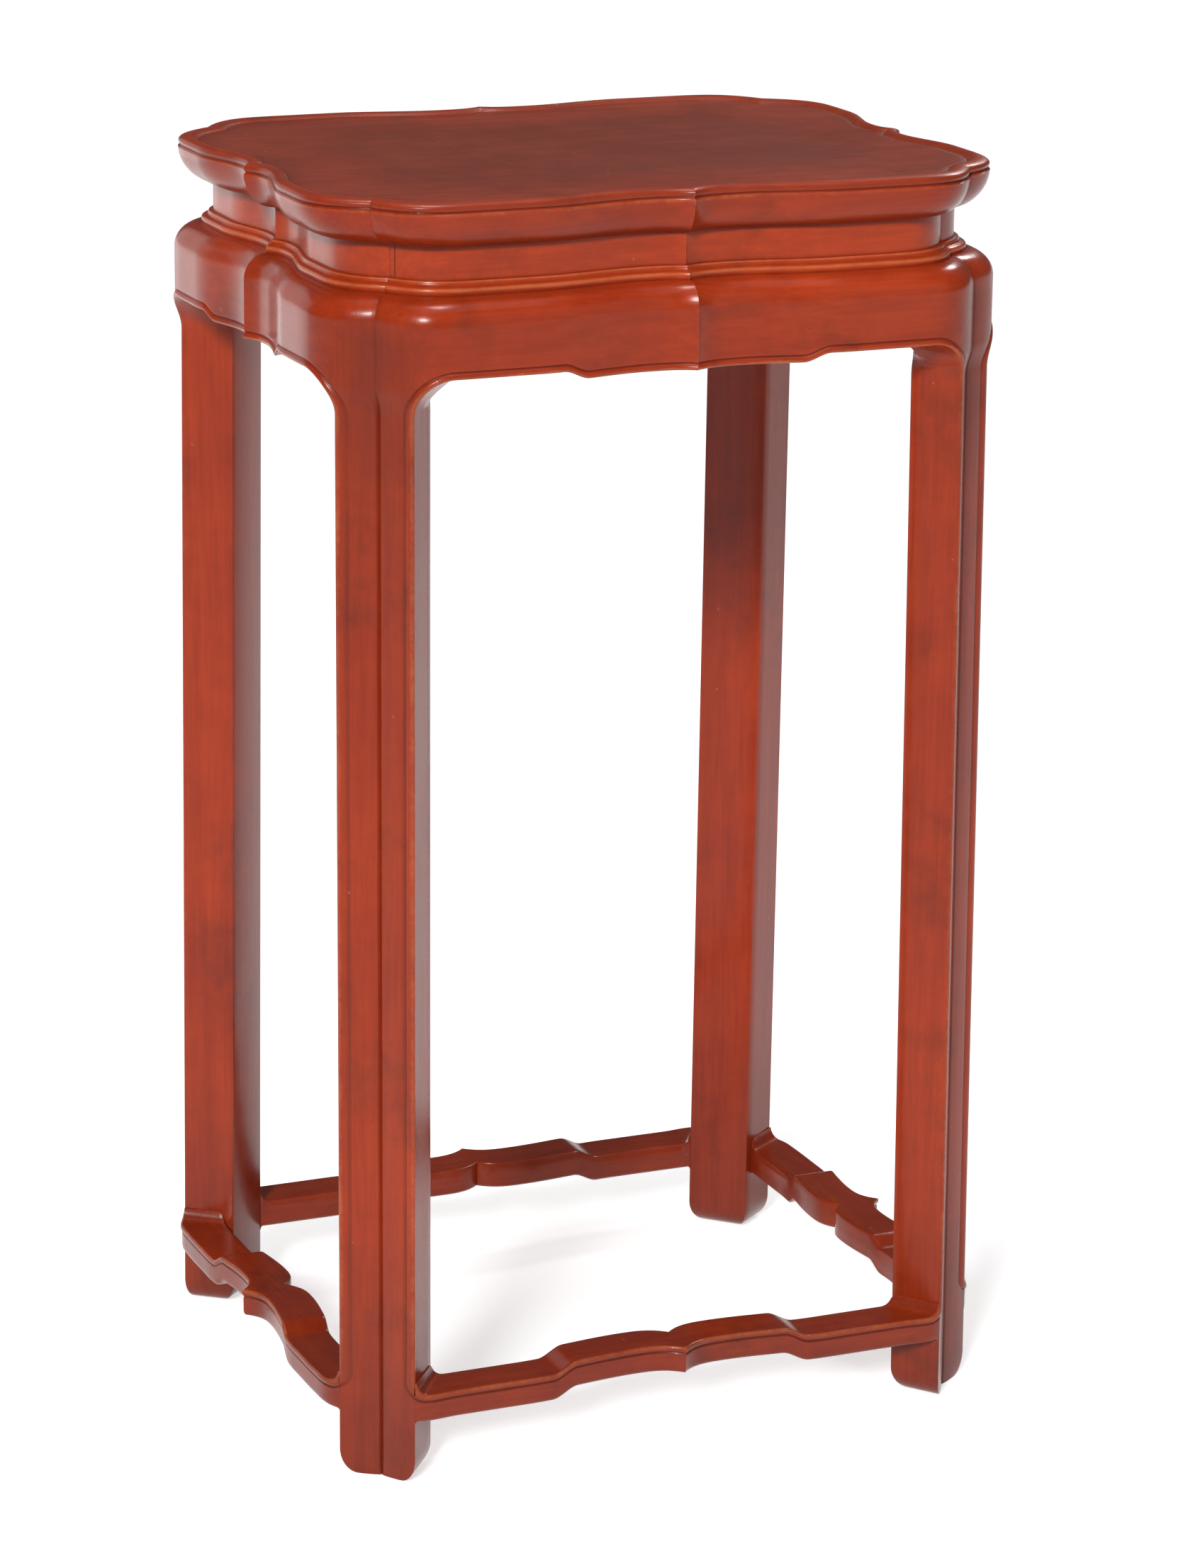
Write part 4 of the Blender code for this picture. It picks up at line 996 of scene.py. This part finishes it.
def rail_rings(s, side):
    """Rings of a base rail: lobed in plan, raised at its centre, its ends flush with the legs' faces."""
    half, base = halves(side, s.rail_x, s.rail_y)
    notch = leg_notch(s, s.rail_under + 0.5 * s.rail_thick)
    corner = Vector(halves(side, notch.x, notch.y))
    edge = face_point(s, Vector((0.0, 0.0)), s.leg_span, 1.0, 0.0)
    cheek = (diagonal(Vector((0.0, 0.0)), s.leg_depth, s.leg_back_half) - edge).normalized()
    arris_span = half - (corner.x + edge.x)
    offset = corner.y + edge.y - base - outline(s, arris_span, half, s.rail_shape)

    def out_at(across, along):
        span = max(0.0, half - along)
        outer = outline(s, span, half, s.rail_shape)
        outer += offset * (1.0 - ease((span - arris_span) / s.rail_blend))
        inner = outline(s, span, half, s.rail_shape, True) - s.rail_width
        return base + mix(outer, inner, across)

    def past_cheek(across, along):
        p = Vector((along, out_at(across, along))) - corner - edge
        return p.x * cheek.y - p.y * cheek.x < -RAIL_CLEAR

    def height(level, gap, along, clear):
        hump = s.rail_hump * (1.0 - step_share(s, along / half))
        if level == "low":
            z = s.rail_under + hump + gap
            if clear < s.under_turn:
                z -= s.under_turn - math.sqrt(s.under_turn ** 2 - (s.under_turn - clear) ** 2)
            return z
        down = gap * s.bead_rail if level == "bead" else gap
        rest = max(0.0, clear - s.ridge) if level == "high" else clear
        if rest < s.turn:
            return s.rail_top + hump + s.turn - math.sqrt((s.turn + down) ** 2 - (s.turn - rest) ** 2)
        return s.rail_top + hump - down

    rows = rail_rows()
    ends = [solve(lambda v, a=row[0]: past_cheek(a, v), 0.5 * half, half) for row in rows]
    fan_end = s.leg_span + s.rail_width + s.fillet
    sections = [[mix(end, half - fan_end, f) for end in ends] for f in RAIL_FAN]
    sections += [[half - span] * len(rows) for span in apron_spans(s, half, fan_end)]
    columns = []
    for k, places in enumerate(sections):
        column = []
        for (across, lift, level, gap, wear_and_highlight, grime_and_shade), end, along in zip(rows, ends, places):
            clear = end - along
            # Painted highlight with wear along the rail's cusp
            if k == len(sections) - 1 and across < 0.2:
                wear_and_highlight = max(wear_and_highlight, FACE_CUSP_WEAR_AND_HIGHLIGHT)
            # Painted shade in the cove where the rail's top turns up into the leg
            if level == "high":
                grime_and_shade = max(grime_and_shade, RAIL_COVE_SHADE - abs(clear - RAIL_END_AT) / RAIL_END_REACH)
            out = out_at(across, along) + lift * s.bead_rise
            column.append((along, out, height(level, gap, along, clear), wear_and_highlight, grime_and_shade))
        columns.append(column)
    return both_halves(side, columns)


def feed(tree, socket, value):
    """Link a socket to another one, or set it to a number, a vector or a colour."""
    if isinstance(value, bpy.types.NodeSocket):
        tree.links.new(value, socket)
    elif socket.type == "RGBA":
        socket.default_value = (*value, 1.0)
    else:
        socket.default_value = value


def feed_all(tree, made, values):
    for key, value in values.items():
        feed(tree, made.inputs[key], value)


def node(tree, kind, values=None, **settings):
    """Shader node with its settings, its inputs fed by name."""
    made = tree.nodes.new(kind)
    for key, value in settings.items():
        setattr(made, key, value)
    feed_all(tree, made, values or {})
    return made


def math_node(tree, operation, *values, clamp=False):
    made = node(tree, "ShaderNodeMath", operation=operation, use_clamp=clamp)
    for socket, value in zip(made.inputs, values):
        feed(tree, socket, value)
    return made.outputs[0]


def weighed(tree, a, part_a, b, part_b):
    """Sum of two values, each times its part."""
    first = math_node(tree, "MULTIPLY", a, part_a)
    return math_node(tree, "ADD", first, math_node(tree, "MULTIPLY", b, part_b))


def ramp(tree, value, low, high):
    """Smooth step of a value between two numbers."""
    values = {"Value": value, "From Min": low, "From Max": high}
    return node(tree, "ShaderNodeMapRange", values, interpolation_type="SMOOTHSTEP").outputs["Result"]


def noise(tree, vector, scale, detail, rough=0.55):
    values = {"Vector": vector, "Scale": scale, "Detail": detail, "Roughness": rough}
    return node(tree, "ShaderNodeTexNoise", values).outputs["Fac"]


def blend(tree, kind, factor, a, b):
    """Colour mix; each side is a socket or a colour."""
    made = node(tree, "ShaderNodeMix", data_type="RGBA", blend_type=kind)
    colours = [socket for socket in made.inputs if socket.type == "RGBA"]
    for socket, value in zip((made.inputs[0], *colours), (factor, a, b)):
        feed(tree, socket, value)
    return next(socket for socket in made.outputs if socket.type == "RGBA")


def glaze(tree, tone, mask, strength, over):
    """Tone with a colour laid over it by a mask."""
    return blend(tree, "MIX", math_node(tree, "MULTIPLY", mask, strength), tone, over)


def tint(tree, tone, mask, filter_colour):
    """Tone seen through a coloured filter by a mask."""
    return blend(tree, "MIX", mask, tone, blend(tree, "MULTIPLY", 1.0, tone, filter_colour))


def bump(tree, height, strength, distance):
    values = {"Height": height, "Strength": strength, "Distance": distance}
    return node(tree, "ShaderNodeBump", values).outputs["Normal"]


def film(tree, given):
    """Uneven lacquer film: broad clouds, brush streaks along the grain and a fine ripple."""
    broad = noise(tree, given["Place"], 9.0, 3.0)
    small = noise(tree, given["Place"], 55.0, 4.0, 0.6)
    fine = noise(tree, given["Grain"], 420.0, 3.0, 0.6)
    wide = noise(tree, given["Grain"], 130.0, 2.0)
    return {"Cloud": ramp(tree, weighed(tree, broad, 0.62, small, 0.38), 0.28, 0.74),
            "Streak": ramp(tree, weighed(tree, fine, 0.5, wide, 0.5), 0.34, 0.66),
            "Ripple": noise(tree, given["Place"], 310.0, 2.0)}


def wear_highlight_grime_and_shade(tree, given):
    """Rubbed edges and painted highlights, dirty grooves and painted shade, broken up, from the piece's own
    wear and grime, and stains of age.
    """
    patch = noise(tree, given["Place"], 38.0, 5.0, 0.62)
    scuff = noise(tree, given["Place"], 240.0, 3.0, 0.6)
    broken = weighed(tree, patch, 0.65, scuff, 0.35)
    rubbed_and_highlight = math_node(tree, "ADD", given["Wear"], math_node(tree, "SUBTRACT", broken, 0.55))
    uneven = math_node(tree, "ADD", math_node(tree, "MULTIPLY", broken, 0.9), 0.5)
    return {"Rubbed_and_highlight": ramp(tree, rubbed_and_highlight, 0.35, 1.0),
            "Dirty_and_shade": math_node(tree, "MULTIPLY", given["Grime"], uneven, clamp=True),
            "Aged": ramp(tree, noise(tree, given["Place"], 13.0, 6.0, 0.68), 0.50, 0.72)}


def small_specks(tree, given):
    """Scattered small chips and specks."""
    values = {"Vector": given["Place"], "Scale": 95.0}
    cells = node(tree, "ShaderNodeTexVoronoi", values, feature="F1").outputs
    spot = math_node(tree, "SUBTRACT", 1.0, ramp(tree, cells["Distance"], 0.05, 0.12))
    lot = node(tree, "ShaderNodeSeparateColor", {"Color": cells["Color"]}).outputs["Red"]
    return {"Speck": math_node(tree, "MULTIPLY", spot, math_node(tree, "GREATER_THAN", lot, 0.94))}


# Shader node groups: what fills them, and the kinds of their inputs
VECTOR = "NodeSocketVector"
VALUE = "NodeSocketFloat"
EFFECTS = {"lacquer_film": (film, {"Place": VECTOR, "Grain": VECTOR}),
           "wear_highlight_grime_and_shade": (wear_highlight_grime_and_shade, {"Place": VECTOR, "Wear": VALUE, "Grime": VALUE}),
           "small_specks": (small_specks, {"Place": VECTOR})}


def effect_group(name):
    """Shader node group of an effect, built once and then found by its name."""
    if name in bpy.data.node_groups:
        return bpy.data.node_groups[name]
    fill, inputs = EFFECTS[name]
    group = bpy.data.node_groups.new(name, "ShaderNodeTree")
    for label, kind in inputs.items():
        group.interface.new_socket(label, in_out="INPUT", socket_type=kind)
    results = fill(group, node(group, "NodeGroupInput").outputs)
    for label in results:
        group.interface.new_socket(label, in_out="OUTPUT", socket_type=VALUE)
    node(group, "NodeGroupOutput", results)
    return group


def effect(tree, name, **values):
    return node(tree, "ShaderNodeGroup", values, node_tree=effect_group(name)).outputs


def attribute(tree, name):
    return node(tree, "ShaderNodeAttribute", attribute_type="GEOMETRY", attribute_name=name).outputs["Fac"]


def new_finish(name):
    """New material, its node tree and its shader."""
    finish = bpy.data.materials.new(name)
    finish.use_nodes = True
    return finish, finish.node_tree, finish.node_tree.nodes["Principled BSDF"]


def film_along(tree, grain):
    """Object coordinates, and the film that follows the grain on them."""
    where = node(tree, "ShaderNodeTexCoord").outputs["Object"]
    along = node(tree, "ShaderNodeMapping", {"Vector": where, "Scale": GRAIN[grain]}).outputs["Vector"]
    return where, effect(tree, "lacquer_film", Place=where, Grain=along)


def lacquer(context, kind, grain):
    """Old semi-gloss lacquer over wood: rubbed edges and painted highlights, dark grooves and painted shade,
    and darker, cooler painted shade near the floor.
    """
    name = kind + "_" + grain
    if name in bpy.data.materials:
        return bpy.data.materials[name]
    look = context.scene.stand_look
    word, roughness = LACQUERS[kind]
    deep, bright = getattr(look, word + "_deep"), getattr(look, word + "_bright")
    finish, tree, shader = new_finish(name)
    where, coat = film_along(tree, grain)
    rub_and_highlight, dirt_and_shade = attribute(tree, "wear_and_highlight"), attribute(tree, "grime_and_shade")
    use = effect(tree, "wear_highlight_grime_and_shade", Place=where, Wear=rub_and_highlight, Grime=dirt_and_shade)
    speck = effect(tree, "small_specks", Place=where)["Speck"]
    level = node(tree, "ShaderNodeSeparateXYZ", {"Vector": where}).outputs["Z"]
    # Painted shade near the floor: darker and cooler towards the bottom
    low = math_node(tree, "SUBTRACT", 1.0, ramp(tree, level, 0.0, FLOOR_SHADE_TOP))
    tone = blend(tree, "MIX", coat["Cloud"], deep, bright)
    tone = tint(tree, tone, math_node(tree, "MULTIPLY", coat["Streak"], 0.50), STREAK_FILTER)
    tone = glaze(tree, tone, use["Aged"], 0.38, look.grime_and_shade)
    # Rubbed edges, with painted highlights on edges, beads, crests and cusps
    tone = glaze(tree, tone, use["Rubbed_and_highlight"], 0.70, look.worn_and_highlight)
    # Grime in grooves and joints, with painted shade under mouldings, in creases and in coves
    tone = glaze(tree, tone, use["Dirty_and_shade"], 0.60, look.grime_and_shade)
    tone = tint(tree, tone, low, FLOOR_SHADE_FILTER)
    tone = glaze(tree, tone, speck, 0.5, look.dust)
    rough = math_node(tree, "MULTIPLY_ADD", coat["Cloud"], 0.10, roughness)
    rough = math_node(tree, "ADD", rough, math_node(tree, "MULTIPLY", use["Dirty_and_shade"], 0.22))
    height = weighed(tree, coat["Streak"], 0.55, coat["Ripple"], 0.45)
    height = math_node(tree, "SUBTRACT", height, math_node(tree, "MULTIPLY", speck, 1.5))
    feed_all(tree, shader, {"Base Color": tone, "Roughness": rough, "Specular IOR Level": 0.25,
                            "Coat Weight": 0.06, "Coat Roughness": 0.10,
                            "Normal": bump(tree, height, 0.22, 0.00025)})
    return finish


def bare_wood(look):
    """Unfinished hardwood of the battens under the panel."""
    finish, tree, shader = new_finish("bare_wood_grain")
    streak_film = film_along(tree, "short")[1]
    tone = blend(tree, "MIX", streak_film["Streak"], look.wood_deep, look.wood_bright)
    tone = glaze(tree, tone, streak_film["Cloud"], 0.3, look.wood_deep)
    rough = math_node(tree, "MULTIPLY_ADD", streak_film["Streak"], 0.15, 0.6)
    feed_all(tree, shader, {"Base Color": tone, "Roughness": rough,
                            "Normal": bump(tree, streak_film["Streak"], 0.4, 0.0003)})
    return finish


def floor_finish(stage):
    """Pale matt floor that reads as a white background and keeps its shadow."""
    finish, tree, shader = new_finish("floor_paint")
    feed_all(tree, shader, {"Base Color": stage.floor, "Roughness": 0.9, "Specular IOR Level": 0.0})
    path = node(tree, "ShaderNodeLightPath").outputs
    seen = math_node(tree, "MAXIMUM", path["Is Camera Ray"], path["Is Glossy Ray"])
    seen = math_node(tree, "MAXIMUM", seen, path["Is Transmission Ray"])
    glow = node(tree, "ShaderNodeEmission",
                {"Color": WHITE, "Strength": math_node(tree, "MULTIPLY", seen, stage.floor_glow)})
    both = node(tree, "ShaderNodeAddShader")
    for part, socket in zip((shader, glow), both.inputs):
        tree.links.new(part.outputs[0], socket)
    tree.links.new(both.outputs[0], tree.nodes["Material Output"].inputs["Surface"])
    return finish


def bearing(azimuth, elevation):
    """Direction towards a bearing off the front and an elevation."""
    level = math.cos(elevation)
    return Vector((math.sin(azimuth) * level, -math.cos(azimuth) * level, math.sin(elevation)))


def add_lamp(name, kind, energy, towards):
    """Lamp that shines in a direction."""
    lamp = bpy.data.objects.new(name, bpy.data.lights.new(name, kind))
    lamp.data.energy = energy
    lamp.rotation_euler = towards.to_track_quat("-Z", "Y").to_euler()
    bpy.context.scene.collection.objects.link(lamp)
    return lamp


def hang_lamps():
    for name, (at, aim, size, watts) in SOFT_LAMPS.items():
        lamp = add_lamp(name, "AREA", watts, Vector(aim) - Vector(at))
        lamp.location = at
        lamp.data.shape = "RECTANGLE"
        lamp.data.size, lamp.data.size_y = size
    for name, (azimuth, elevation, breadth, strength) in DAY_LAMPS.items():
        source = bearing(math.radians(azimuth), math.radians(elevation))
        lamp = add_lamp(name, "SUN", strength, -source)
        lamp.data.angle = math.radians(breadth)


def fill_air(scene):
    """World that is white to the camera and dim to the stand."""
    scene.world = bpy.data.worlds.new("studio_air")
    scene.world.use_nodes = True
    tree = scene.world.node_tree
    seen = node(tree, "ShaderNodeLightPath").outputs["Is Camera Ray"]
    values = {"Value": seen, "To Min": scene.stand_stage.air, "To Max": 1.0}
    strength = node(tree, "ShaderNodeMapRange", values).outputs["Result"]
    feed_all(tree, tree.nodes["Background"], {"Color": WHITE, "Strength": strength})


def set_camera(scene):
    stage = scene.stand_stage
    back = bearing(stage.azimuth, stage.elevation)
    right = Vector((math.cos(stage.azimuth), math.sin(stage.azimuth), 0.0))
    up = back.cross(right)
    across = math.cos(stage.roll) * right + math.sin(stage.roll) * up
    upward = -math.sin(stage.roll) * right + math.cos(stage.roll) * up
    eye = Vector((0.0, 0.0, stage.target_height)) + stage.slide * across + stage.lift * upward
    eye += stage.distance * back
    camera = bpy.data.objects.new("camera", bpy.data.cameras.new("camera"))
    rows = [(*row, at) for row, at in zip(zip(across, upward, back), eye)]
    camera.matrix_world = Matrix(rows + [(0.0, 0.0, 0.0, 1.0)])
    camera.data.sensor_width = SENSOR_WIDTH
    camera.data.lens = stage.lens
    camera.data.clip_end = CAMERA_FAR
    scene.collection.objects.link(camera)
    scene.camera = camera


def top_rings(s, side):
    return swept_side(s, side, top_rows(s))


def waist_rings(s, side):
    return swept_side(s, side, waist_rows(s), s.joint_line if is_long(side) else 0.0)


def collar_rings(s, side):
    return swept_side(s, side, collar_rows(s))


def make_sides(context, kind, *pieces):
    """Pieces on all four sides, in a lacquer.  Each is given by its name, its CAD node and its rings."""
    s = stand_sizes(context)
    for side in SIDES:
        finish = lacquer(context, kind, "long" if is_long(side) else "short")
        for name, cad_node, rings in pieces:
            make_piece(name + "_" + side, [rings(s, side)], finish, cad_node + "_" + side)


class STAND_OT_top(bpy.types.Operator):
    """Lay the four members of the top frame and its panel."""

    bl_idname = "stand.top"
    bl_label = "Top frame and panel"

    def execute(self, context):
        make_sides(context, "red_lacquer", ("top_member", "top", top_rings))
        finish = lacquer(context, "brown_lacquer", "panel")
        make_piece("panel_board", [panel_rings(stand_sizes(context))], finish, "top_panel")
        return {"FINISHED"}


class STAND_OT_waist(bpy.types.Operator):
    """Fit the waist boards and the collar moulding below them."""

    bl_idname = "stand.waist"
    bl_label = "Waist and collar"

    def execute(self, context):
        # The waist and collar take the brighter red, painted light that makes up for the shade under the top
        make_sides(context, "painted_lit_red_lacquer", ("waist_board", "waist", waist_rings),
                   ("collar_moulding", "collar", collar_rings))
        return {"FINISHED"}


class STAND_OT_aprons(bpy.types.Operator):
    """Hang the four beaded aprons."""

    bl_idname = "stand.aprons"
    bl_label = "Aprons"

    def execute(self, context):
        make_sides(context, "red_lacquer", ("apron_board", "apron", apron_rings))
        return {"FINISHED"}


class STAND_OT_legs(bpy.types.Operator):
    """Set the four lobed legs with their heads and feet."""

    bl_idname = "stand.legs"
    bl_label = "Legs"

    def execute(self, context):
        s = stand_sizes(context)
        finish = lacquer(context, "red_lacquer", "upright")
        bodies = (leg_rings(s), post_rings(s))
        for name, (side_x, side_y) in CORNERS.items():
            flip = Vector((side_x, side_y, 1.0))
            turned = [[[(p * flip, w, g) for p, w, g in ring] for ring in rings] for rings in bodies]
            make_piece("corner_leg_" + name, turned, finish, "leg_" + name)
        return {"FINISHED"}


class STAND_OT_rails(bpy.types.Operator):
    """Join the feet with the four lobed base rails."""

    bl_idname = "stand.rails"
    bl_label = "Base rails"

    def execute(self, context):
        make_sides(context, "red_lacquer", ("base_rail", "rail", rail_rings))
        return {"FINISHED"}


class STAND_OT_battens(bpy.types.Operator):
    """Give the battens under the panel their bare wood."""

    bl_idname = "stand.battens"
    bl_label = "Battens"

    def execute(self, context):
        finish = bare_wood(context.scene.stand_look)
        for name in ("batten_left", "batten_right"):
            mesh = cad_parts[name].data
            mesh.materials.clear()
            mesh.materials.append(finish)
        return {"FINISHED"}


class STAND_OT_stage(bpy.types.Operator):
    """Set up the floor, the soft lamps and the camera."""

    bl_idname = "stand.stage"
    bl_label = "Stage"

    def execute(self, context):
        scene = context.scene
        bm = bmesh.new()
        bmesh.ops.create_grid(bm, x_segments=1, y_segments=1, size=FLOOR_HALF)
        floor = new_object("studio_floor", bm, floor_finish(scene.stand_stage))
        hang_lamps()
        fill_air(scene)
        set_camera(scene)
        scene.view_settings.view_transform = "Standard"
        return {"FINISHED"}


STEPS = (STAND_OT_top, STAND_OT_waist, STAND_OT_aprons, STAND_OT_legs, STAND_OT_rails, STAND_OT_battens,
         STAND_OT_stage)


class STAND_PT_panel(bpy.types.Panel):
    """Buttons and sizes of the stand."""

    bl_idname = "STAND_PT_panel"
    bl_label = "Lacquer stand"
    bl_space_type = "VIEW_3D"
    bl_region_type = "UI"
    bl_category = "Stand"

    def draw(self, context):
        for step in STEPS:
            self.layout.operator(step.bl_idname)
        for name, group in {**GROUPS, **LOOKS}.items():
            box = self.layout.box()
            for key in group.__annotations__:
                box.prop(getattr(context.scene, name), key)


CLASSES = (*GROUPS.values(), *LOOKS.values(), *STEPS, STAND_PT_panel)


def register():
    for cls in CLASSES:
        bpy.utils.register_class(cls)
    for name, group in {**GROUPS, **LOOKS}.items():
        setattr(bpy.types.Scene, name, PointerProperty(type=group))


def unregister():
    for name in {**GROUPS, **LOOKS}:
        delattr(bpy.types.Scene, name)
    for cls in reversed(CLASSES):
        bpy.utils.unregister_class(cls)


def main():
    register()
    for step in STEPS:
        getattr(bpy.ops.stand, step.bl_idname.split(".")[1])()


if __name__ == "__main__":
    main()
